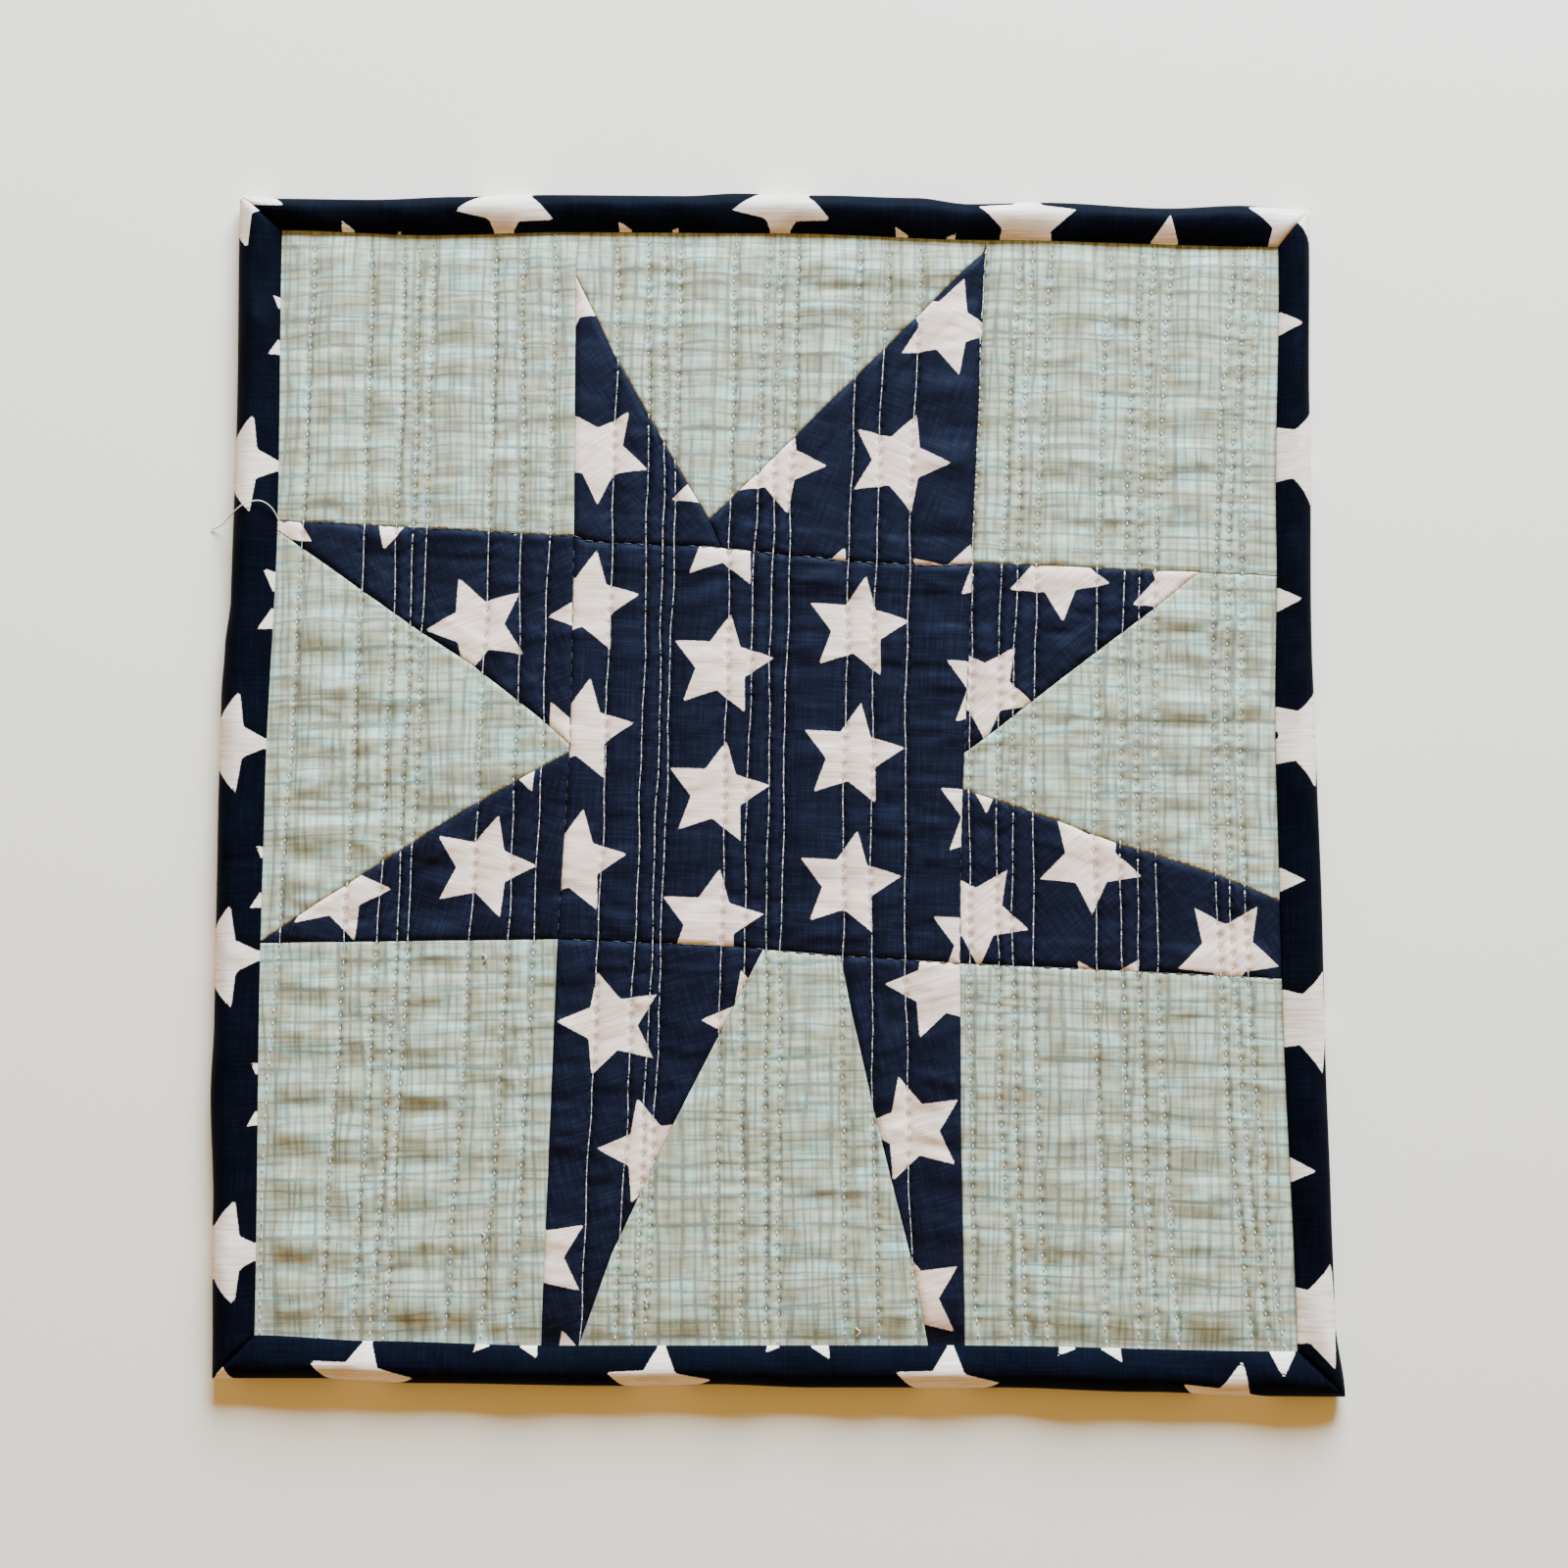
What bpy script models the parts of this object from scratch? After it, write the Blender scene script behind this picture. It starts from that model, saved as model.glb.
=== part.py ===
"""A small bound quilt that lies flat: a quilted panel and the four sides of its binding.

+X runs to the right and +Y away along the quilt as it lies, +Z is up. The origin is at the middle of
the underside. Sizes in this file are millimetres, and MM turns them to metres.
"""

import math

import bmesh
import bpy

MM = 0.001

# Thicknesses, measured up from the surface that the quilt lies on
BINDING_BASE = 0.8  # the cloth folded under the panel
CLEARANCE = 0.3  # between the panel and the binding that holds its edge
PANEL_EDGE_TOP = 3.3  # the panel pressed flat inside the binding
BINDING_CROWN = 5.3
PANEL_TROUGH = 3.1  # along a quilting line
MITRE_CUT = 0.25  # taken off each end of a binding side

# How puffy the panel is between two quilting lines that stand GAP apart: PUFF_BASE + PUFF_RATE * GAP
PUFF_BASE = 0.35
PUFF_RATE = 0.075
PUFF_MOST = 1.15
PUFF_ROUNDNESS = 0.7  # 1 is a sine, lower is fuller
EDGE_RISE = 2.5  # the distance over which the panel rises from the binding's seam

# Shares of the binding's width, from its outer edge (0) to the line where it is sewn down (1)
SLOT_SHARE = 0.20
PANEL_SHARE = 0.25

# Spacing of the panel's rows and the binding's cross sections
ROW_SPACING = 7.3
BINDING_SPACING = 8.0

# The outer edge, as (place along the side, edge): x then y on the top and bottom, y then x at the sides
OUTER = {
    "top": ((-106.2, 116.2), (-97.6, 115.8), (-80.0, 115.6), (-63.0, 116.2), (-44.5, 116.6), (-17.4, 116.4),
            (-7.7, 116.9), (10.0, 116.5), (28.0, 116.0), (39.0, 114.7), (54.0, 115.0), (78.6, 113.8),
            (92.4, 114.4), (106.3, 113.3)),
    "bottom": ((-105.2, -113.5), (-85.4, -113.5), (-66.3, -114.4), (-30.0, -114.9), (-11.6, -114.6),
               (8.0, -115.2), (42.6, -115.2), (69.4, -116.0), (93.0, -116.8), (107.1, -116.9)),
    "left": ((-113.5, -105.2), (-82.0, -105.9), (-59.0, -107.0), (-48.0, -106.7), (-26.0, -106.9),
             (-3.4, -107.1), (15.9, -107.1), (25.0, -106.7), (35.0, -105.8), (69.5, -105.6), (116.2, -106.2)),
    "right": ((-116.9, 107.1), (-102.7, 105.6), (-82.0, 105.4), (-52.0, 105.1), (-26.0, 105.2), (10.9, 104.8),
              (25.0, 104.6), (70.9, 105.4), (113.3, 106.3)),
}

# The line where the binding is sewn to the front, in the same form
SEWN = {
    "top": ((-97.5, 109.1), (-68.0, 108.1), (-41.0, 108.7), (1.0, 108.5), (42.0, 107.1), (99.9, 105.7)),
    "bottom": ((-97.3, -105.5), (-74.0, -106.6), (-44.0, -107.4), (35.0, -107.4), (98.2, -108.5)),
    "left": ((-105.5, -97.3), (-32.0, -98.1), (-1.5, -98.0), (50.3, -96.9), (109.1, -97.5)),
    "right": ((-108.5, 98.2), (-39.0, 97.0), (4.6, 96.9), (48.5, 98.1), (105.7, 99.9)),
}

# Each quilting line: x at y = +LINE_REACH, at y = 0 and at y = -LINE_REACH
LINE_REACH = 105.0
LINES = (
    (-91.0, -93.4, -98.5),
    (-79.4, -81.1, -85.2),
    (-72.8, -74.8, -79.0),
    (-70.3, -71.2, -75.5),
    (-67.4, -68.9, -73.0),
    (-54.8, -56.9, -61.6),
    (-49.7, -49.9, -54.8),
    (-43.3, -44.9, -49.2),
    (-30.7, -32.6, -36.3),
    (-24.7, -25.6, -29.8),
    (-21.6, -22.4, -26.4),
    (-18.4, -20.6, -24.0),
    (-7.5, -9.4, -11.2),
    (-0.9, -5.0, -6.0),
    (1.4, -1.0, -1.4),
    (5.1, 2.0, 0.8),
    (17.2, 13.6, 13.6),
    (22.9, 18.9, 19.9),
    (29.4, 25.4, 26.5),
    (42.0, 37.8, 38.2),
    (49.0, 43.1, 44.8),
    (51.5, 46.1, 47.4),
    (55.2, 50.0, 51.4),
    (66.6, 62.0, 62.6),
    (73.0, 66.9, 68.6),
    (75.5, 70.0, 71.9),
    (78.8, 73.4, 75.9),
    (91.2, 84.9, 89.6),
    (94.2, 87.4, 92.6),
    (97.2, 90.1, 95.4),
)
LINE_MARGIN = 0.9  # a line stays at least this far inside the binding's seam

# Soft creases that the quilting has drawn up: middle x, y, half length, half breadth, height
CREASES = (
    (-87.0, 28.5, 15.0, 4.0, 0.45),
    (-84.0, 17.0, 18.0, 4.5, 0.55),
    (-72.0, 1.5, 22.0, 4.0, 0.50),
    (-90.0, -10.5, 10.0, 3.5, 0.40),
    (-91.0, -20.0, 9.0, 3.5, 0.35),
    (-80.0, -46.0, 20.0, 5.0, 0.55),
    (-88.0, -57.0, 12.0, 4.0, 0.40),
    (-89.0, -68.0, 10.0, 4.0, 0.55),
    (-66.0, -68.0, 9.0, 4.5, 0.35),
    (-90.0, -86.0, 9.0, 4.5, 0.45),
    (-66.0, -77.0, 9.0, 4.0, 0.30),
    (84.0, 30.5, 12.0, 3.5, 0.50),
    (78.0, 13.0, 20.0, 3.5, 0.60),
    (84.0, 96.5, 9.0, 4.0, 0.35),
    (35.0, 76.0, 6.0, 4.0, 0.40),
    (34.0, 62.5, 6.0, 4.0, 0.40),
    (34.0, 51.0, 6.0, 4.0, 0.30),
)

# The binding's cross section: share of its width, height above the surface
BINDING_PROFILE = (
    (1.00, 0.0),
    (0.20, 0.0),
    (0.05, 0.8),
    (0.00, 2.3),
    (0.07, 3.8),
    (0.25, 4.9),
    (0.50, BINDING_CROWN),
    (0.76, 5.0),
    (0.94, 4.3),
    (1.00, PANEL_EDGE_TOP + CLEARANCE),
    (SLOT_SHARE, PANEL_EDGE_TOP + CLEARANCE),
    (SLOT_SHARE, BINDING_BASE),
    (1.00, BINDING_BASE),
)
WAVE_HEIGHT = 0.40  # how much the roll of the binding swells and sinks along a side
WAVE_LENGTHS = (37.0, 21.0)
WAVE_SHIFT = {"top": 0.0, "right": 1.7, "bottom": 3.4, "left": 5.1}  # so that the sides differ

# Underside of the panel: how far in from its edge it is held up, and where it has come down to the surface
UNDER_STEP = 7.4
UNDER_FLAT = 9.0


def smooth(t):
    """An ease from 0 to 1 with level ends."""
    t = min(max(t, 0.0), 1.0)
    return t * t * (3.0 - 2.0 * t)


def read(table, place):
    """The value of a two-column table at a place, eased between its rows."""
    if place <= table[0][0]:
        return table[0][1]
    for (low, start), (high, end) in zip(table, table[1:]):
        if place <= high:
            return start + (end - start) * smooth((place - low) / (high - low))
    return table[-1][1]


def edge(side, place, share):
    """A side's edge coordinate at a share of the binding's width."""
    return read(OUTER[side], place) * (1.0 - share) + read(SEWN[side], place) * share


def line_x(line, y):
    """Where a quilting line crosses y: the quadratic through its three places, kept off the binding."""
    top, middle, bottom = line
    t = y / LINE_REACH
    x = middle + 0.5 * (top - bottom) * t + (0.5 * (top + bottom) - middle) * t * t
    low = read(SEWN["left"], y) + LINE_MARGIN
    high = read(SEWN["right"], y) - LINE_MARGIN
    return min(max(x, low), high)


def puff(gap):
    """Height of the crown between two quilting lines that stand gap apart."""
    return min(PUFF_BASE + PUFF_RATE * gap, PUFF_MOST)


def crease_height(x, y):
    """What the soft creases add at a point."""
    total = 0.0
    for middle_x, middle_y, half_length, half_breadth, height in CREASES:
        along = (x - middle_x) / half_length
        across = (y - middle_y) / half_breadth
        total += height * math.exp(-along * along - across * across)
    return total


def seam_fade(x, y):
    """0 at the binding's seam and outside it, 1 where the panel has risen to its full height."""
    inside = min(
        x - read(SEWN["left"], y),
        read(SEWN["right"], y) - x,
        y - read(SEWN["bottom"], x),
        read(SEWN["top"], x) - y,
    )
    return smooth(inside / EDGE_RISE)


def columns(y):
    """The panel's columns across it at y, as (x, crown height there above the troughs)."""
    left_seam = read(SEWN["left"], y)
    right_seam = read(SEWN["right"], y)
    troughs = [left_seam] + [line_x(line, y) for line in LINES] + [right_seam]
    found = [(edge("left", y, PANEL_SHARE), 0.0)]
    for (low, high), steps in zip(zip(troughs, troughs[1:]), COLUMN_STEPS):
        found.append((low, 0.0))
        for step in range(1, steps):
            share = step / steps
            rise = math.sin(math.pi * share) ** PUFF_ROUNDNESS
            found.append((low + (high - low) * share, puff(high - low) * rise))
    found.append((right_seam, 0.0))
    found.append((edge("right", y, PANEL_SHARE), 0.0))
    return found


def column_steps():
    """How many strips each space between two lines has: more where it is wide."""
    middles = [read(SEWN["left"], 0.0)] + [line[1] for line in LINES] + [read(SEWN["right"], 0.0)]
    gaps = [high - low for low, high in zip(middles, middles[1:])]
    return [4 if gap > 8.0 else 3 if gap > 4.5 else 2 for gap in gaps]


COLUMN_STEPS = column_steps()


def panel_rows():
    """Each row of the panel as (share of the way up between the seams, or which edge it is)."""
    reach = SEWN["top"][0][1] - SEWN["bottom"][0][1]
    count = round(reach / ROW_SPACING)
    return ["low edge"] + [row / count for row in range(count + 1)] + ["high edge"]


def row_y(row, x):
    """The y of a row at x."""
    if row == "low edge":
        return edge("bottom", x, PANEL_SHARE)
    if row == "high edge":
        return edge("top", x, PANEL_SHARE)
    low = read(SEWN["bottom"], x)
    high = read(SEWN["top"], x)
    return low + (high - low) * row


def top_point(row, column):
    """A point of the panel's quilted face, in millimetres."""
    guess = row_y(row, 0.0)
    x, _ = columns(guess)[column]
    y = row_y(row, x)
    x, rise = columns(y)[column]
    fade = seam_fade(x, y)
    height = PANEL_TROUGH + rise + crease_height(x, y) * min(1.0, 0.35 + rise)
    return x, y, PANEL_EDGE_TOP + (height - PANEL_EDGE_TOP) * fade


def inset(point, by, height):
    """A point of the panel's outline moved in on both axes and set to a height."""
    half_x = 0.5 * (OUTER["right"][-1][1] - OUTER["left"][-1][1])
    half_y = 0.5 * (OUTER["top"][0][1] - OUTER["bottom"][0][1])
    return point[0] * (1.0 - by / half_x), point[1] * (1.0 - by / half_y), height


def cotton(name, colour, roughness):
    """A cloth material of one colour."""
    material = bpy.data.materials.new(name)
    material.use_nodes = True
    shader = material.node_tree.nodes["Principled BSDF"]
    shader.inputs["Base Color"].default_value = (*colour, 1.0)
    shader.inputs["Roughness"].default_value = roughness
    shader.inputs["Metallic"].default_value = 0.0
    return material


def mesh_object(name, points, faces, material):
    """One closed mesh object from points in millimetres and the faces between them."""
    mesh = bmesh.new()
    verts = [mesh.verts.new([value * MM for value in point]) for point in points]
    for face in faces:
        mesh.faces.new([verts[index] for index in face])
    bmesh.ops.triangulate(mesh, faces=mesh.faces[:])
    bmesh.ops.recalc_face_normals(mesh, faces=mesh.faces[:])
    data = bpy.data.meshes.new(name)
    mesh.to_mesh(data)
    mesh.free()
    data.shade_smooth()
    data.materials.append(material)
    made = bpy.data.objects.new(name, data)
    bpy.context.collection.objects.link(made)
    return made


def quilt_panel(material):
    """The pieced top, batting and backing as one body, raised between its quilting lines."""
    rows = panel_rows()
    wide = len(columns(0.0))
    points = [top_point(row, column) for row in rows for column in range(wide)]
    faces = []
    for row in range(len(rows) - 1):
        for column in range(wide - 1):
            corner = row * wide + column
            faces.append((corner, corner + 1, corner + wide + 1, corner + wide))
    last = (len(rows) - 1) * wide
    rim = list(range(wide - 1))
    rim += [row * wide + wide - 1 for row in range(len(rows) - 1)]
    rim += [last + column for column in range(wide - 1, 0, -1)]
    rim += [row * wide for row in range(len(rows) - 1, 0, -1)]
    outline = [points[index] for index in rim]
    held_up = BINDING_BASE + CLEARANCE
    ring = rim
    for by, height in ((0.0, held_up), (UNDER_STEP, held_up), (UNDER_FLAT, 0.0)):
        start = len(points)
        points += [inset(point, by, height) for point in outline]
        lower = list(range(start, start + len(outline)))
        for here, there, under_here, under_there in zip(
            ring, ring[1:] + ring[:1], lower, lower[1:] + lower[:1]
        ):
            faces.append((here, under_here, under_there, there))
        ring = lower
    faces.append(tuple(reversed(ring)))
    return mesh_object("quilt_panel", points, faces, material)


def roll_swell(side, place):
    """How far the crown of the binding's roll swells or sinks at a place."""
    shift = WAVE_SHIFT[side]
    wave = sum(math.sin(2.0 * math.pi * place / length + shift) for length in WAVE_LENGTHS)
    return WAVE_HEIGHT * wave / len(WAVE_LENGTHS)


def binding_section(side, t):
    """The binding's cross section at share t of the way along a side, as points in millimetres."""
    outer_place = OUTER[side][0][0] * (1.0 - t) + OUTER[side][-1][0] * t
    sewn_place = SEWN[side][0][0] * (1.0 - t) + SEWN[side][-1][0] * t
    outer_value = read(OUTER[side], outer_place)
    sewn_value = read(SEWN[side], sewn_place)
    swell = roll_swell(side, outer_place)
    slot_top = PANEL_EDGE_TOP + CLEARANCE
    points = []
    for share, height in BINDING_PROFILE:
        place = outer_place + (sewn_place - outer_place) * share
        value = outer_value + (sewn_value - outer_value) * share
        above_slot = max(0.0, (height - slot_top) / (BINDING_CROWN - slot_top))
        z = height + swell * above_slot
        points.append((place, value, z) if side in ("top", "bottom") else (value, place, z))
    return points


def binding_side(side, material):
    """One side of the binding: a roll of cloth over the panel's edge and back under it."""
    length = OUTER[side][-1][0] - OUTER[side][0][0]
    count = round(length / BINDING_SPACING)
    ends = MITRE_CUT / length
    points = []
    for step in range(count + 1):
        points += binding_section(side, ends + (1.0 - 2.0 * ends) * step / count)
    around = len(BINDING_PROFILE)
    faces = []
    for step in range(count):
        for index in range(around):
            here = step * around + index
            there = step * around + (index + 1) % around
            faces.append((here, there, there + around, here + around))
    faces.append(tuple(range(around)))
    faces.append(tuple(reversed(range(count * around, (count + 1) * around))))
    return mesh_object(f"binding_{side}", points, faces, material)


def main():
    for old in list(bpy.data.objects):
        bpy.data.objects.remove(old)
    quilt_panel(cotton("mint_crosshatch_cotton", (0.47, 0.54, 0.45), 0.85))
    for side in OUTER:
        navy = cotton(f"navy_star_cotton_{side}", (0.008, 0.012, 0.040), 0.80)
        binding_side(side, navy)


main()
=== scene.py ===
"""Looks of the star mini quilt: a pieced, quilted and bound cloth that lies flat.

Sizes in this file are millimetres, and MM turns them to metres. +X runs to the right and +Y away along
the quilt as it lies, +Z is up, and the origin is at the middle of the underside.
"""
import logging
import math
from collections.abc import Iterable, Sequence
from dataclasses import dataclass
from enum import Enum

import bpy
import numpy as np
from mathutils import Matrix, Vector
from mathutils.geometry import delaunay_2d_cdt
from mathutils.kdtree import KDTree


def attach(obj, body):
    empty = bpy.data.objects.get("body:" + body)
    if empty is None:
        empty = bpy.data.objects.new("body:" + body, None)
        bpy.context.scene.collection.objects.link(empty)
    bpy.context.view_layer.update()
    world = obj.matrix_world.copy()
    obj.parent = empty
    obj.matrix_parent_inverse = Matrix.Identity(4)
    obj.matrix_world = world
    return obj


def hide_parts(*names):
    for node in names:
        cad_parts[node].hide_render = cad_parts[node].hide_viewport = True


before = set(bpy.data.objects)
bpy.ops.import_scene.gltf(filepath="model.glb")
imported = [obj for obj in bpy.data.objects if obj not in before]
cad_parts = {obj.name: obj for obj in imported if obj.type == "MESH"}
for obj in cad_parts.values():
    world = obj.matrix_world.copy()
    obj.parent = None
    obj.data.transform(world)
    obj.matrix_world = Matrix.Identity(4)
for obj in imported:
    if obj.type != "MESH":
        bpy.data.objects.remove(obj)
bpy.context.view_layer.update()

LOG = logging.getLogger("star_mini_quilt")
MM = 0.001

# The steps that the trees use most; RANGE takes value, from low, from high, to low, to high
MATH = "ShaderNodeMath"
RANGE = "ShaderNodeMapRange"
MIX = "ShaderNodeMix"
FACTOR, FIRST, SECOND, MIXED = 0, 6, 7, 2  # sockets of a mix of colours, by number

Table = tuple[tuple[float, float], ...]
Point = tuple[float, float]
Spot = tuple[float, float, float]

# The outer edge, as (place along the side, edge): x then y on the top and bottom, y then x at the sides
OUTER: dict[str, Table] = {
    "top": ((-106.2, 116.2), (-97.6, 115.8), (-80.0, 115.6), (-63.0, 116.2), (-44.5, 116.6), (-17.4, 116.4),
            (-7.7, 116.9), (10.0, 116.5), (28.0, 116.0), (39.0, 114.7), (54.0, 115.0), (78.6, 113.8),
            (92.4, 114.4), (106.3, 113.3)),
    "bottom": ((-105.2, -113.5), (-85.4, -113.5), (-66.3, -114.4), (-30.0, -114.9), (-11.6, -114.6),
               (8.0, -115.2), (42.6, -115.2), (69.4, -116.0), (93.0, -116.8), (107.1, -116.9)),
    "left": ((-113.5, -105.2), (-82.0, -105.9), (-59.0, -107.0), (-48.0, -106.7), (-26.0, -106.9),
             (-3.4, -107.1), (15.9, -107.1), (25.0, -106.7), (35.0, -105.8), (69.5, -105.6), (116.2, -106.2)),
    "right": ((-116.9, 107.1), (-102.7, 105.6), (-82.0, 105.4), (-52.0, 105.1), (-26.0, 105.2), (10.9, 104.8),
              (25.0, 104.6), (70.9, 105.4), (113.3, 106.3)),
}

# The line where the binding is sewn to the front, in the same form
SEWN: dict[str, Table] = {
    "top": ((-97.5, 109.1), (-68.0, 108.1), (-41.0, 108.7), (1.0, 108.5), (42.0, 107.1), (99.9, 105.7)),
    "bottom": ((-97.3, -105.5), (-74.0, -106.6), (-44.0, -107.4), (35.0, -107.4), (98.2, -108.5)),
    "left": ((-105.5, -97.3), (-32.0, -98.1), (-1.5, -98.0), (50.3, -96.9), (109.1, -97.5)),
    "right": ((-108.5, 98.2), (-39.0, 97.0), (4.6, 96.9), (48.5, 98.1), (105.7, 99.9)),
}

# Each quilting line: x at y = +LINE_REACH, at y = 0 and at y = -LINE_REACH
LINE_REACH = 105.0
LINES: tuple[Spot, ...] = (
    (-91.0, -93.4, -98.5), (-79.4, -81.1, -85.2), (-72.8, -74.8, -79.0), (-70.3, -71.2, -75.5),
    (-67.4, -68.9, -73.0), (-54.8, -56.9, -61.6), (-49.7, -49.9, -54.8), (-43.3, -44.9, -49.2),
    (-30.7, -32.6, -36.3), (-24.7, -25.6, -29.8), (-21.6, -22.4, -26.4), (-18.4, -20.6, -24.0),
    (-7.5, -9.4, -11.2), (-0.9, -5.0, -6.0), (1.4, -1.0, -1.4), (5.1, 2.0, 0.8),
    (17.2, 13.6, 13.6), (22.9, 18.9, 19.9), (29.4, 25.4, 26.5), (42.0, 37.8, 38.2),
    (49.0, 43.1, 44.8), (51.5, 46.1, 47.4), (55.2, 50.0, 51.4), (66.6, 62.0, 62.6),
    (73.0, 66.9, 68.6), (75.5, 70.0, 71.9), (78.8, 73.4, 75.9), (91.2, 84.9, 89.6),
    (94.2, 87.4, 92.6), (97.2, 90.1, 95.4),
)
LINE_MARGIN = 0.9  # a line stays at least this far inside the binding's seam
STITCH_PITCH = 2.5
HOLE_STEP = 0.618  # how far each line's needle holes are out of step with the last one's, in stitches

# Soft creases that the quilting has drawn up: middle x, y, half length, half breadth, height
CREASES: tuple[tuple[float, float, float, float, float], ...] = (
    (-87.0, 28.5, 15.0, 3.2, 0.70), (-84.0, 17.0, 18.0, 3.6, 0.85), (-72.0, 1.5, 22.0, 3.2, 0.75),
    (-90.0, -10.5, 10.0, 2.8, 0.60), (-91.0, -20.0, 9.0, 2.8, 0.50), (84.0, 30.5, 12.0, 2.8, 0.75),
    (78.0, 13.0, 20.0, 2.8, 0.85), (84.0, 96.5, 9.0, 3.2, 0.55), (35.0, 76.0, 6.0, 3.2, 0.60),
    (34.0, 62.5, 6.0, 3.2, 0.60), (34.0, 51.0, 6.0, 3.2, 0.45), (22.0, 101.0, 12.0, 3.0, 0.60),
)

# Where the cloth ripples between the quilting lines: middle x, y, half width, half length, height
RIPPLED: tuple[tuple[float, float, float, float, float], ...] = (
    (-84.0, -70.0, 28.0, 36.0, 0.62), (-82.0, 6.0, 24.0, 30.0, 0.42), (84.0, 14.0, 22.0, 24.0, 0.40),
    (-72.0, 76.0, 30.0, 24.0, 0.26), (6.0, 92.0, 22.0, 18.0, 0.40), (70.0, 74.0, 30.0, 30.0, 0.30),
    (72.0, -72.0, 30.0, 32.0, 0.34), (6.0, -74.0, 18.0, 28.0, 0.30),
)
RIPPLE_LENGTH = 9.5  # from one ripple to the next
RIPPLE_START = -62.5  # where one of them crosses the middle height

# Where seams meet inside the quilt
MEETINGS: dict[str, Point] = {
    "tip_nw": (-39.1, 99.3), "tip_ne": (42.05, 106.3), "dip": (-12.6, 50.4), "below_dip": (-10.2, 44.8),
    "cross_nw": (-38.9, 47.1), "cross_ne": (38.8, 41.8), "cross_sw": (-41.2, -31.4),
    "cross_se": (35.6, -36.0), "west_high": (-39.2, 5.9), "west_low": (-39.3, 4.6),
    "east_high": (36.8, 4.6), "east_low": (36.4, -2.6), "tip_east": (82.7, 39.9),
    "south_w": (-2.0, -33.3), "south_e": (12.8, -34.6),
}

# Where patches run under the binding: side, place along it
UNDER_BINDING: dict[str, tuple[str, float]] = {
    "top_w": ("top", -38.5), "top_e": ("top", 42.2), "left_row_1": ("left", 50.3), "left_tip": ("left", 48.3),
    "left_low": ("left", -31.7), "left_row_2": ("left", -32.1), "right_row_1": ("right", 39.3),
    "right_low": ("right", -24.0), "right_row_2": ("right", -38.9), "foot_1": ("bottom", -43.5),
    "foot_2": ("bottom", -36.4), "foot_3": ("bottom", 29.0), "foot_4": ("bottom", 35.9),
}

# Corners of the quilt: the two sides that meet there
CORNERS: dict[str, tuple[str, str]] = {
    "corner_nw": ("left", "top"), "corner_ne": ("right", "top"),
    "corner_sw": ("left", "bottom"), "corner_se": ("right", "bottom"),
}

# Each seam between two junctions, with the points between them
SEAMS: dict[tuple[str, str], tuple[Point, ...]] = {
    ("top_w", "tip_nw"): ((-38.6, 108.5),),
    ("tip_nw", "cross_nw"): (),
    ("tip_nw", "dip"): ((-34.7, 90.5), (-31.6, 83.8), (-17.2, 58.1)),
    ("dip", "below_dip"): (),
    ("dip", "tip_ne"): ((4.5, 67.4), (28.5, 91.5), (41.3, 104.2)),
    ("top_e", "tip_ne"): ((42.15, 106.9),),
    ("tip_ne", "cross_ne"): ((41.0, 86.9), (39.2, 54.8)),
    ("left_row_1", "cross_nw"): ((-96.9, 50.3),),
    ("cross_nw", "below_dip"): ((-36.2, 46.0),),
    ("below_dip", "cross_ne"): ((14.8, 42.1), (32.7, 41.1)),
    ("cross_ne", "tip_east"): (),
    ("tip_east", "right_row_1"): ((97.7, 39.3),),
    ("left_tip", "west_high"): ((-96.9, 48.3), (-91.6, 44.6), (-69.5, 28.9), (-58.0, 21.4), (-44.6, 10.9)),
    ("cross_nw", "west_high"): (),
    ("west_high", "west_low"): (),
    ("west_low", "left_low"): ((-44.5, 1.9), (-59.1, -6.4), (-78.4, -18.7), (-92.3, -27.9), (-98.0, -31.7)),
    ("west_low", "cross_sw"): (),
    ("left_row_2", "cross_sw"): ((-98.1, -32.1),),
    ("cross_sw", "south_w"): ((-20.5, -32.2), (-7.0, -32.8)),
    ("south_w", "south_e"): (),
    ("south_e", "cross_se"): (),
    ("cross_ne", "east_high"): (),
    ("east_high", "east_low"): (),
    ("east_low", "cross_se"): ((35.8, -20.0),),
    ("tip_east", "east_high"): ((74.2, 33.0), (62.6, 24.3), (49.6, 14.3), (40.4, 7.1)),
    ("east_low", "right_low"): ((43.7, -4.9), (53.4, -8.3), (65.6, -12.9), (85.1, -19.1), (96.9, -24.0)),
    ("cross_se", "right_row_2"): ((62.2, -37.2), (97.0, -38.9)),
    ("cross_sw", "foot_1"): ((-43.5, -107.4),),
    ("south_w", "foot_2"): ((-9.9, -48.6), (-19.3, -67.0), (-30.3, -90.2), (-36.4, -107.3)),
    ("south_e", "foot_3"): ((14.9, -45.4), (19.3, -64.7), (22.5, -77.8), (26.1, -92.0), (29.0, -107.3)),
    ("cross_se", "foot_4"): ((35.5, -70.2), (35.9, -107.4)),
}

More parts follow.
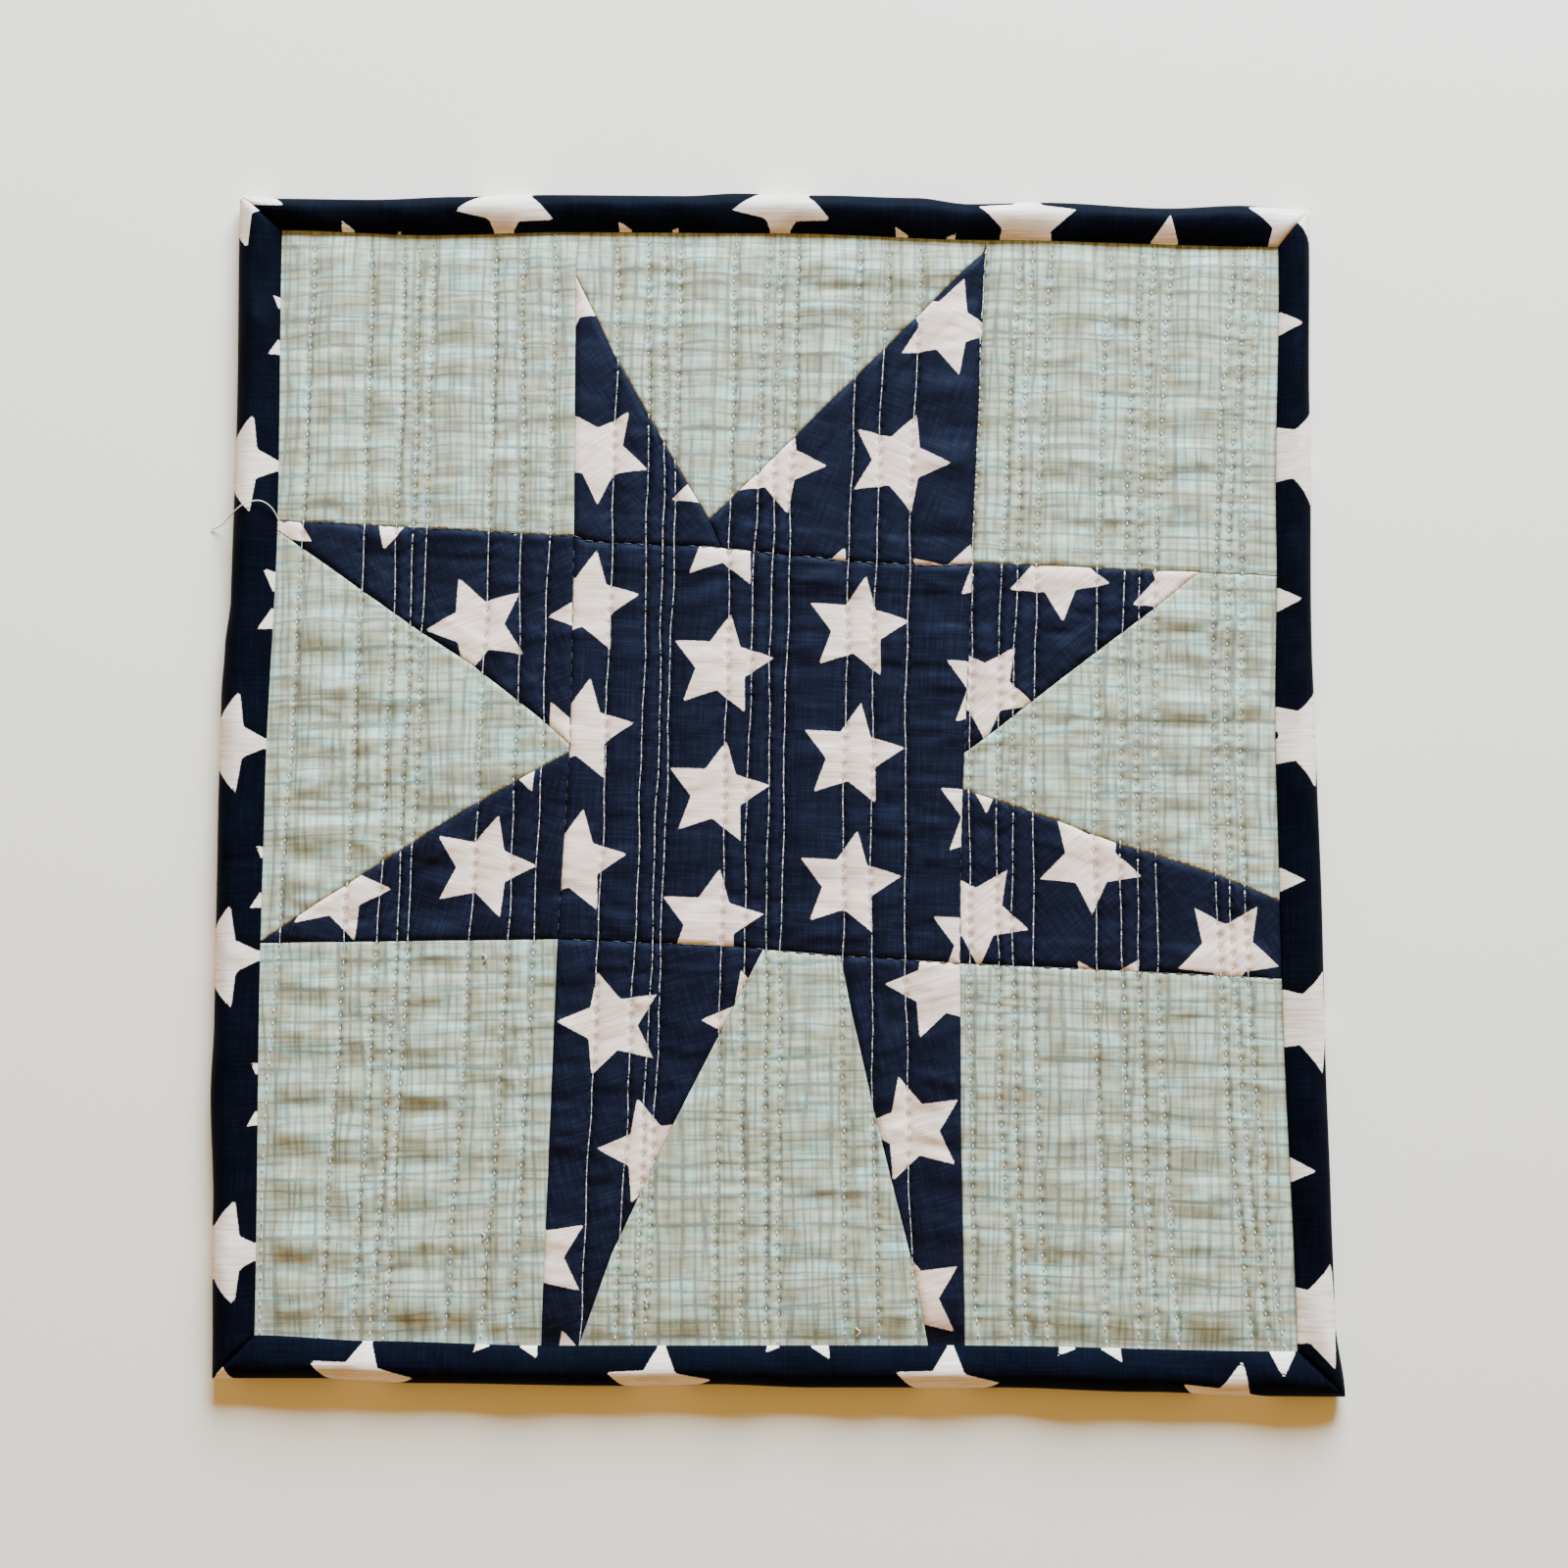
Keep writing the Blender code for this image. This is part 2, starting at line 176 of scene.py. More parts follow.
# Fat five-pointed stars of the print, by patch: tilt counter-clockwise in degrees, then their middles
PRINT: dict[str, tuple[tuple[float, tuple[Point, ...]], ...]] = {
    "centre": ((-10.0, (
        (-36.2, 34.1), (-37.2, 8.9), (-38.3, -16.5), (-9.0, 46.8), (-10.1, 21.7), (-10.9, -3.2),
        (-12.1, -28.0), (16.2, 29.0), (15.1, 4.1), (14.3, -20.7), (43.8, 42.6), (42.5, 17.7),
        (41.1, -7.2), (39.5, -31.9))),),
    "top_left_point": ((36.0, ((-34.4, 63.6), (-41.2, 95.0), (-10.2, 57.6))),),
    "top_right_point": ((-21.5, ((24.3, 62.0), (33.8, 89.2), (0.1, 61.6), (10.1, 35.4), (34.9, 36.2))),),
    "left_upper_point": ((22.5, (
        (-57.3, 29.3), (-73.5, 54.3), (-48.1, 57.2), (-98.7, 51.4), (-33.6, 32.0), (-39.1, 5.0))),),
    "left_lower_point": ((-16.6, ((-55.7, -17.5), (-83.4, -22.0), (-49.9, 6.6))),),
    "right_upper_point": ((39.5, ((55.4, 40.3), (79.2, 37.3))), (36.0, ((40.8, 16.9),))),
    "right_lower_point": ((37.5, (
        (60.7, -16.4), (86.7, -33.6), (40.6, 3.0), (38.9, -26.6), (64.1, -43.6))),),
    "bottom_left_leg": ((15.2, (
        (-30.9, -47.5), (-23.1, -71.4), (-44.4, -90.8), (-3.5, -47.2), (-36.9, -114.4))),),
    "bottom_right_leg": ((14.8, ((31.5, -40.5), (26.3, -67.3), (25.9, -98.3))),),
}

# The same print on the binding's cloth, laid flat outwards from its sewn line: x, y, tilt
BINDING_PRINT: dict[str, tuple[Spot, ...]] = {
    "top": ((-106.1, 118.4, -44), (-81.0, 101.6, 26), (-53.0, 115.0, 31), (-25.5, 101.8, 30.5),
            (1.8, 115.0, 30), (29.2, 100.6, 30), (50.0, 110.4, -3), (76.7, 101.7, -9), (103.4, 110.7, -1.5)),
    "left": ((-107.6, 114.6, -17), (-90.9, 88.8, -22), (-105.3, 61.3, -19), (-91.5, 34.0, -22),
             (-106.5, 6.5, -19), (-91.5, -20.0, -22), (-106.7, -34.8, -16), (-91.2, -61.0, -20),
             (-104.5, -90.2, -17), (-103.0, -121.0, 0)),
    "right": ((105.1, 115.2, -20), (94.3, 90.0, -20), (103.5, 63.0, -22), (92.6, 34.7, -20),
              (102.6, 7.5, -22), (91.6, -19.8, -20), (102.0, -46.8, -22), (92.2, -74.7, -20),
              (102.0, -101.9, -18)),
    "bottom": ((-103.0, -121.0, 0), (-77.4, -115.2, -10), (-49.2, -101.0, -6), (-21.6, -116.4, -5),
               (5.4, -101.1, -6), (32.2, -116.6, -6.4), (60.0, -101.7, -6), (85.1, -120.2, -14),
               (95.6, -103.4, 32)),
}
STAR_REACH = 10.3  # from a star's middle to its tips
STAR_WAIST = 5.05  # from its middle to the corners between the tips

# Where lengths of the binding's strip are joined, by side: the place along it
STRIP_JOINS: dict[str, tuple[float, ...]] = {"top": (32.0,), "left": (-16.3,), "bottom": (), "right": ()}

# How far the waves of the binding's sides are out of step, in radians
WAVE_SHIFTS: dict[str, float] = {"top": 0.0, "right": 1.7, "bottom": 3.4, "left": 5.1}

# What each side of the binding adds to the number of its noises, so that they differ
SIDE_SEEDS: dict[str, int] = {"bottom": 0, "left": 10, "right": 20, "top": 30}

# The noises that shape the cloth: width and length of their cells, and which noise each is
NOISES: dict[str, tuple[Point, int]] = {
    "pucker_sway": ((9.0, 12.0), 3), "pucker": ((13.0, 3.4), 11), "fine_pucker": ((5.0, 1.7), 12),
    "pucker_strength": ((30.0, 26.0), 13), "ripple_sway": ((16.0, 11.0), 17),
    "ripple_strength": ((11.0, 10.0), 18), "wrinkle": ((7.0, 5.0), 21), "fine_wrinkle": ((2.6, 4.0), 22),
}

# The loose thread that comes out of the left seam, from its free end, and where small thread ends stand up
THREAD_TAIL: tuple[Spot, ...] = (
    (-110.5, 49.2, 0.15), (-108.9, 49.7, 0.6), (-107.6, 50.0, 2.2), (-106.2, 50.4, 4.9),
    (-104.5, 51.8, 6.0), (-103.0, 53.0, 6.1), (-100.0, 53.9, 6.0), (-98.0, 52.9, 5.2),
    (-96.9, 51.2, 3.9), (-96.6, 49.9, 3.2),
)
THREAD_ENDS: tuple[Point, ...] = ((-55.0, -34.9), (-54.5, -87.2), (15.9, -104.8), (-24.0, -99.4))

# How a small thread end lies, from the place where it stands up
THREAD_END_WAY: tuple[Spot, ...] = (
    (-0.5, 0.7, 0.0), (-0.2, 0.4, 0.4), (0.4, 0.1, 0.45), (0.1, -0.5, 0.4), (-0.3, -0.9, 0.05))

# The seams whose dark piecing stitches show, as runs of junction pairs
PIECED_RUNS: tuple[tuple[tuple[str, str], ...], ...] = (
    (("left_row_1", "cross_nw"), ("cross_nw", "below_dip"), ("below_dip", "cross_ne")),
    (("cross_sw", "south_w"), ("south_w", "south_e"), ("south_e", "cross_se"), ("cross_se", "right_row_2")),
    (("cross_nw", "west_high"), ("west_high", "west_low"), ("west_low", "cross_sw")),
    (("cross_ne", "east_high"), ("east_high", "east_low"), ("east_low", "cross_se")),
)


def linear(code: str) -> tuple[float, float, float, float]:
    """Turns an sRGB hex colour to linear red, green, blue and alpha.

    Args:
        code: six hex digits after a hash.

    Returns:
        The four channels from 0 to 1.
    """
    parts = [int(code[i:i + 2], 16) / 255.0 for i in (1, 3, 5)]
    red, green, blue = (p / 12.92 if p <= 0.04045 else ((p + 0.055) / 1.055) ** 2.4 for p in parts)
    return red, green, blue, 1.0


def ease(share: np.ndarray | float) -> np.ndarray:
    """Eases 0 to 1 with level ends, clipped outside them."""
    t = np.clip(share, 0.0, 1.0)
    return t * t * (3.0 - 2.0 * t)


def read(table: Table, places: np.ndarray | float) -> np.ndarray:
    """Reads a two-column table, eased between its rows.

    Args:
        table: rows of place and value.
        places: where to read it.

    Returns:
        The values at those places.
    """
    rows = np.array(table, float)
    right = np.clip(np.searchsorted(rows[:, 0], places), 1, len(rows) - 1)
    low, high = rows[right - 1], rows[right]
    share = ease((places - low[..., 0]) / (high[..., 0] - low[..., 0]))
    return low[..., 1] + (high[..., 1] - low[..., 1]) * share


def edge(side: str, places: np.ndarray | float, share: float) -> np.ndarray:
    """Reads a side's coordinate at a share of the binding's width, from outer edge (0) to seam (1)."""
    return read(OUTER[side], places) * (1.0 - share) + read(SEWN[side], places) * share


def lattice_noise(x: np.ndarray, y: np.ndarray, cell: Point, seed: int) -> np.ndarray:
    """Gives smooth noise from -1 to 1.

    Args:
        x: places across, in millimetres.
        y: places along.
        cell: width and length of the noise's cells.
        seed: which noise.

    Returns:
        One value for each place.
    """
    size, start = 128, 500.0
    knots = np.random.default_rng(seed).uniform(-1.0, 1.0, (size, size))
    u, v = x / cell[0] + start, y / cell[1] + start
    i, j = np.floor(u).astype(int), np.floor(v).astype(int)
    s, t = ease(u - i), ease(v - j)
    i0, j0, i1, j1 = i % size, j % size, (i + 1) % size, (j + 1) % size
    low = knots[i0, j0] * (1.0 - s) + knots[i1, j0] * s
    high = knots[i0, j1] * (1.0 - s) + knots[i1, j1] * s
    return low * (1.0 - t) + high * t


def distance_to(points: np.ndarray, line: np.ndarray) -> np.ndarray:
    """Measures how far points are from an open line.

    Args:
        points: N by 2.
        line: the line's points, M by 2.

    Returns:
        N distances.
    """
    nearest = np.full(len(points), np.inf)
    for start, end in zip(line[:-1], line[1:]):
        way = end - start
        share = np.clip((points - start) @ way / max(float(way @ way), 1e-12), 0.0, 1.0)
        away = points - start - share[:, None] * way
        nearest = np.minimum(nearest, np.hypot(away[:, 0], away[:, 1]))
    return nearest


def signed_area(ring: np.ndarray) -> float:
    """Gives a closed outline's area, negative where it runs clockwise."""
    ahead = np.roll(ring, -1, axis=0)
    return 0.5 * float((ring[:, 0] * ahead[:, 1] - ahead[:, 0] * ring[:, 1]).sum())


def within(ring: np.ndarray, points: np.ndarray) -> np.ndarray:
    """Tells which points lie inside a closed outline.

    Args:
        ring: the outline's points, M by 2.
        points: N by 2.

    Returns:
        N truths.
    """
    crossings = np.zeros(len(points), int)
    for a, b in zip(ring, np.roll(ring, -1, axis=0)):
        between = (a[1] > points[:, 1]) != (b[1] > points[:, 1])
        rise = b[1] - a[1] if b[1] != a[1] else 1.0
        crossings += between & (points[:, 0] < a[0] + (b[0] - a[0]) * (points[:, 1] - a[1]) / rise)
    return crossings % 2 == 1


def filled(ring: np.ndarray, inner: np.ndarray) -> tuple[np.ndarray, list[tuple[int, ...]]]:
    """Fills a closed outline with triangles.

    Args:
        ring: the outline's points, N by 2.
        inner: more points inside it.

    Returns:
        All the points, the outline's first, and the triangles inside the outline.
    """
    flat = np.concatenate([ring, inner])
    loop = [(i, (i + 1) % len(ring)) for i in range(len(ring))]
    made, _, faces, _, _, _ = delaunay_2d_cdt([Vector(p) for p in flat.tolist()], loop, [], 1, 1e-7, False)
    kept = dict(enumerate(tuple(face) for face in faces))
    owners: dict[tuple[int, int], set[int]] = {}
    for number, face in kept.items():
        for a, b in zip(face, face[1:] + face[:1]):
            owners.setdefault((min(a, b), max(a, b)), set()).add(number)
    walls = {(min(a, b), max(a, b)) for a, b in loop}
    open_edges = [pair for pair, users in owners.items() if len(users) == 1 and pair not in walls]
    while open_edges:
        for number in list(owners[open_edges.pop()]):
            face = kept.pop(number)
            for a, b in zip(face, face[1:] + face[:1]):
                pair = (min(a, b), max(a, b))
                owners[pair].discard(number)
                if pair not in walls and owners[pair]:
                    open_edges.append(pair)
    return np.array([tuple(p) for p in made]), list(kept.values())


def star_depth(points: np.ndarray, middle: Point, tilt: float) -> np.ndarray:
    """Measures how far points lie inside a printed star, and outside it as a negative depth.

    Args:
        points: N by 2, in the cloth's plane.
        middle: the star's middle.
        tilt: degrees counter-clockwise from upright.

    Returns:
        N depths in millimetres.
    """
    away = points - np.array(middle)
    sector = math.radians(36.0)
    angle = np.arctan2(away[:, 1], away[:, 0]) - math.radians(90.0 + tilt)
    folded = np.abs((angle + sector) % (2.0 * sector) - sector)
    reach = np.hypot(away[:, 0], away[:, 1])
    x, y = reach * np.cos(folded), reach * np.sin(folded)
    tip = np.array([STAR_REACH, 0.0])
    waist = np.array([STAR_WAIST * math.cos(sector), STAR_WAIST * math.sin(sector)])
    way = waist - tip
    share = np.clip(((x - tip[0]) * way[0] + y * way[1]) / (way @ way), 0.0, 1.0)
    gap = np.hypot(x - tip[0] - share * way[0], y - share * way[1])
    inside = way[0] * y - way[1] * (x - tip[0]) > 0.0
    return np.where(inside, gap, -gap)


def print_depth(points: np.ndarray, stars: Iterable[Spot]) -> np.ndarray:
    """Gives the depth inside the nearest of several stars, each as x, y and tilt."""
    depth = np.full(len(points), -STAR_REACH)
    for x, y, tilt in stars:
        depth = np.maximum(depth, star_depth(points, (x, y), tilt))
    return depth


def add_node(tree: bpy.types.NodeTree, kind: str, links: dict | Sequence = (), output: int | str = 0,
             **settings: object) -> bpy.types.NodeSocket | None:
    """Adds one node.

    Args:
        tree: the tree that it goes in.
        kind: Blender's name for the node's type.
        links: the socket or plain value that feeds each input, in order or by the input's name or number.
        output: the name or number of the output that is wanted.
        settings: the node's own properties.

    Returns:
        That output, or nothing from a node that has none.
    """
    node = tree.nodes.new(kind)
    for name, value in settings.items():
        setattr(node, name, value)
    for place, value in links.items() if isinstance(links, dict) else enumerate(links):
        if isinstance(value, bpy.types.NodeSocket):
            tree.links.new(value, node.inputs[place])
        else:
            node.inputs[place].default_value = value
    return node.outputs[output] if len(node.outputs) else None


def new_material(name: str, values: dict[str, object]) -> tuple[bpy.types.Material, bpy.types.Node]:
    """Starts a material.

    Args:
        name: the material's name.
        values: plain values of its shader's inputs.

    Returns:
        The material and its shader.
    """
    material = bpy.data.materials.new(name)
    material.use_nodes = True
    shader = material.node_tree.nodes["Principled BSDF"]
    for key, value in values.items():
        shader.inputs[key].default_value = value
    return material, shader


def into_scene(name: str, data: bpy.types.ID) -> bpy.types.Object:
    """Puts a mesh, curve, lamp or camera into the scene as an object at the origin."""
    placed = bpy.data.objects.new(name, data)
    bpy.context.scene.collection.objects.link(placed)
    return placed


def as_mesh(carrier: bpy.types.Object, name: str) -> bpy.types.Object:
    """Replaces a curve, or a mesh with modifiers, by a piece of plain mesh under the name given."""
    depsgraph = bpy.context.evaluated_depsgraph_get()
    mesh = bpy.data.meshes.new_from_object(carrier.evaluated_get(depsgraph))
    bpy.data.objects.remove(carrier)
    mesh.name = name
    return into_scene(name, mesh)


def make_piece(name: str, points: np.ndarray, faces: list, material: bpy.types.Material,
               fields: dict[str, np.ndarray] | None = None) -> bpy.types.Object:
    """Makes one smooth-shaded mesh piece whose faces point outwards.

    Args:
        name: the piece's name.
        points: N by 3, in millimetres.
        faces: point numbers of each face, all turning the same way.
        material: its finish.
        fields: values kept at its points, N numbers or N by 3.

    Returns:
        The piece.
    """
    a, b, c = (points[[face[i] for face in faces]] for i in (0, 1, 2))
    volume = float(np.einsum("ij,ij->i", a, np.cross(b, c)).sum())
    for face in (f for f in faces if len(f) == 4):
        corner = points[[face[0], face[2], face[3]]]
        volume += float(corner[0] @ np.cross(corner[1], corner[2]))
    if volume < 0.0:
        faces = [tuple(reversed(face)) for face in faces]
    mesh = bpy.data.meshes.new(name)
    mesh.from_pydata((points * MM).tolist(), [], faces)
    mesh.shade_smooth()
    for key, values in (fields or {}).items():
        kind, slot = ("FLOAT", "value") if values.ndim == 1 else ("FLOAT_VECTOR", "vector")
        mesh.attributes.new(key, kind, "POINT").data.foreach_set(slot, values.astype(np.float32).ravel())
    mesh.materials.append(material)
    return into_scene(name, mesh)


class Slot(Enum):
    """The material slots."""

    CROSSHATCH = "crosshatch_cotton"
    STARS = "star_print_cotton"
    BINDING = "star_print_binding"
    BACKING = "backing_cotton"
    QUILTING = "quilting_thread"
    PIECING = "piecing_thread"


def dress(piece: bpy.types.Object, stands_for: str | None = None) -> None:
    """Ties a piece to the body, and hides the solid that it stands for."""
    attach(piece, "root")
    if stands_for:
        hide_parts(stands_for)


@dataclass(frozen=True)
class PlainWeave:
    """The woven ground of quilting cotton: matte, a little fuzzy, with fine slubs along its threads."""

    name: str
    thread_pitch: float = 0.5  # real threads lie 0.385 apart; drawn a little coarser so that they show
    slub_rate: float = 0.12  # changes of a thread's thickness in each millimetre of its length
    weave_height: float = 0.06
    weave_strength: float = 0.5
    roughness: float = 0.85
    specular: float = 0.2
    sheen: float = 0.06
    sheen_roughness: float = 0.5
    gloss_tint: str = "#ffffff"

    def ground(self) -> tuple[bpy.types.Material, bpy.types.Node, bpy.types.NodeSocket]:
        """Starts a cloth material.

        Returns:
            The material, its shader and the socket of cloth coordinates in millimetres.
        """
        tint = linear(self.gloss_tint)
        material, shader = new_material(self.name, {
            "Roughness": self.roughness, "Specular IOR Level": self.specular, "Specular Tint": tint,
            "Sheen Weight": self.sheen, "Sheen Roughness": self.sheen_roughness, "Sheen Tint": tint})
        cloth = add_node(material.node_tree, "ShaderNodeAttribute", output="Vector",
                         attribute_name="cloth_mm")
        return material, shader, cloth

    def slub(self, tree: bpy.types.NodeTree, cloth: bpy.types.NodeSocket,
             across: bool) -> bpy.types.NodeSocket:
        """Adds uneven threads that run across or along the cloth and returns their 0 to 1 socket."""
        fine = 1.0 / self.thread_pitch
        scale = (self.slub_rate, fine, 1.0) if across else (fine, self.slub_rate, 1.0)
        spot = add_node(tree, "ShaderNodeMapping", {"Vector": cloth, "Scale": scale})
        return add_node(tree, "ShaderNodeTexNoise",
                        {"Vector": spot, "Scale": 1.0, "Detail": 2.0, "Roughness": 0.6}, output="Fac")

    def weave_bump(self, tree: bpy.types.NodeTree, shader: bpy.types.Node,
                   cloth: bpy.types.NodeSocket) -> tuple[bpy.types.NodeSocket, bpy.types.NodeSocket]:
        """Adds the weave's relief to a shader and returns the two thread sockets that it is made of."""
        weft, warp = self.slub(tree, cloth, True), self.slub(tree, cloth, False)
        both = add_node(tree, MATH, (weft, warp), operation="ADD")
        bump = add_node(tree, "ShaderNodeBump", {
            "Height": both, "Strength": self.weave_strength, "Distance": self.weave_height * MM})
        tree.links.new(bump, shader.inputs["Normal"])
        return weft, warp


def noise_of(tree: bpy.types.NodeTree, cloth: bpy.types.NodeSocket, cell: Point, shift: float,
             detail: float = 1.0) -> bpy.types.NodeSocket:
    """Adds noise on cloth coordinates and returns its 0 to 1 socket.

    Args:
        tree: the material's tree.
        cloth: cloth coordinates in millimetres.
        cell: width and length of the noise's cells.
        shift: moves the pattern, so that each noise differs.
        detail: octaves.

    Returns:
        The noise.
    """
    scale, place = (1.0 / cell[0], 1.0 / cell[1], 1.0), (shift, shift * 1.7, shift)
    spot = add_node(tree, "ShaderNodeMapping", {"Vector": cloth, "Scale": scale, "Location": place})
    return add_node(tree, "ShaderNodeTexNoise", {"Vector": spot, "Scale": 1.0, "Detail": detail},
                    output="Fac")


@dataclass(frozen=True)
class CrosshatchCotton(PlainWeave):
    """Pale grey-green cotton, printed with a wavering crosshatch of thin grey lines about 2 mm apart, and
    mottled with warm painted shade and cool painted highlight over its own uneven tone.
    """

    ground_colour: str = "#c7ceb6"
    # The warm brown is partly the cloth's own uneven tone and partly painted shade of pucker flanks turned
    # from the light; the cool cyan is partly a cool tint and partly painted highlight of flanks facing it
    mottle_and_shade_colour: str = "#aba788"
    cool_tint_and_highlight_colour: str = "#bbdfd2"
    line_colour: str = "#636862"
    thread_colour: str = "#7c7f73"
    # Sets of lines as spacing and strength: several in each direction, so that some fall in pairs
    upright_sets: Table = ((2.3, 1.0), (4.1, 1.0), (1.3, 0.42))
    level_sets: Table = ((2.9, 1.0), (5.2, 1.0), (1.5, 0.42))
    line_width: float = 0.5
    ink_strength: float = 0.66
    ink_most: float = 0.74
    faint: float = 0.35  # how much of its strength a line keeps where it is worn
    sway: float = 3.2  # how far a line wanders, and how far it trembles
    tremble: float = 1.0
    # Cells of the noises that move and wear the upright lines
    sway_cell: Point = (5.0, 26.0)
    tremble_cell: Point = (3.1, 9.0)
    wear_cell: Point = (1.6, 14.0)
    # Mottling, partly the cloth's own tone and partly warm painted shade: long upright and level bands, with
    # short blotches between; and cooler patches of painted highlight
    band_cell: Point = (2.4, 24.0)
    blotch_cell: Point = (7.0, 4.0)
    cool_highlight_cell: Point = (8.0, 3.6)
    # Between which values of their noises each of these goes from none to all
    wear_range: Point = (0.38, 0.62)
    blotch_range: Point = (1.32, 1.72)
    cool_highlight_range: Point = (0.48, 0.66)
    thread_share: float = 0.35  # how much of the thread colour shows between the threads
    thread_mix: float = 0.4
    count_from: float = -400.0  # where the counting of lines starts, off the cloth

    def lines(self, tree: bpy.types.NodeTree, cloth: bpy.types.NodeSocket, upright: bool, pitch: float,
              strength: float, shift: float) -> bpy.types.NodeSocket:
        """Adds one set of wavering printed lines.

        Args:
            tree: the material's tree.
            cloth: cloth coordinates in millimetres.
            upright: whether they run along the cloth.
            pitch: spacing.
            strength: how dark they are, up to 1.
            shift: makes each set differ.

        Returns:
            Their strength, from 0 to 1.
        """
        across = add_node(tree, "ShaderNodeSeparateXYZ", (cloth,), output="X" if upright else "Y")
        turned = 1 if upright else -1
        wanders = noise_of(tree, cloth, self.sway_cell[::turned], shift)
        trembles = noise_of(tree, cloth, self.tremble_cell[::turned], shift + 7.0)
        worn = noise_of(tree, cloth, self.wear_cell[::turned], shift + 3.0)
        sway = add_node(tree, MATH, (wanders, self.sway, -0.5 * self.sway), operation="MULTIPLY_ADD")
        tremble = add_node(tree, MATH, (trembles, self.tremble, -0.5 * self.tremble),
                           operation="MULTIPLY_ADD")
        swayed = add_node(tree, MATH, (across, sway), operation="ADD")
        place = add_node(tree, MATH, (swayed, tremble), operation="ADD")
        counted = add_node(tree, MATH, (place, self.count_from), operation="SUBTRACT")
        turns = add_node(tree, MATH, (counted, pitch), operation="DIVIDE")
        share = add_node(tree, MATH, (turns,), operation="FRACT")
        phase = add_node(tree, MATH, (share, 0.5), operation="SUBTRACT")
        near = add_node(tree, MATH, (phase,), operation="ABSOLUTE")
        off = add_node(tree, MATH, (near, pitch), operation="MULTIPLY")
        line = add_node(tree, RANGE, (off, 0.0, self.line_width, 1.0, 0.0), interpolation_type="SMOOTHSTEP")
        wear = add_node(tree, RANGE, (worn, *self.wear_range, self.faint * strength, strength))
        return add_node(tree, MATH, (line, wear), operation="MULTIPLY")

    def material(self) -> bpy.types.Material:
        """Makes the printed cloth's material."""
        material, shader, cloth = self.ground()
        tree = material.node_tree
        weft, warp = self.weave_bump(tree, shader, cloth)
        sets = [self.lines(tree, cloth, upright, pitch, strength, 11.0 * number + (5.0 if upright else 0.0))
                for upright, rows in ((True, self.upright_sets), (False, self.level_sets))
                for number, (pitch, strength) in enumerate(rows)]
        total = sets[0]
        for more in sets[1:]:
            total = add_node(tree, MATH, (total, more), operation="ADD")
        full_ink = add_node(tree, MATH, (total, self.ink_strength), operation="MULTIPLY")
        ink = add_node(tree, MATH, (full_ink, self.ink_most), operation="MINIMUM")
        upright_bands = noise_of(tree, cloth, self.band_cell, shift=71.0)
        level_bands = noise_of(tree, cloth, self.band_cell[::-1], shift=83.0)
        bands = add_node(tree, MATH, (upright_bands, level_bands), operation="ADD")
        blotches = noise_of(tree, cloth, self.blotch_cell, shift=31.0, detail=2.0)
        mottled = add_node(tree, MATH, (bands, blotches), operation="ADD")
        patches = noise_of(tree, cloth, self.cool_highlight_cell, shift=57.0, detail=2.0)
        both = add_node(tree, MATH, (weft, warp), operation="ADD")
        threads = add_node(tree, MATH, (both, self.thread_share), operation="MULTIPLY")
        # The mottle mixes in warm painted shade and the cool patches cool painted highlight, laid by noise
        # rather than by the relief's slopes
        blotch = add_node(tree, RANGE, (mottled, *self.blotch_range))
        cool = add_node(tree, RANGE, (patches, *self.cool_highlight_range))
        colour = linear(self.ground_colour)
        for factor, tint in ((blotch, self.mottle_and_shade_colour), (cool, self.cool_tint_and_highlight_colour), (ink, self.line_colour)):
            colour = add_node(tree, MIX, {FACTOR: factor, FIRST: colour, SECOND: linear(tint)},
                              output=MIXED, data_type="RGBA")
        thinned = add_node(tree, MIX, {
            FACTOR: self.thread_mix, FIRST: colour, SECOND: linear(self.thread_colour)},
            output=MIXED, data_type="RGBA")
        woven = add_node(tree, MIX, {FACTOR: threads, FIRST: colour, SECOND: thinned},
                         output=MIXED, data_type="RGBA")
        tree.links.new(woven, shader.inputs["Base Color"])
        return material


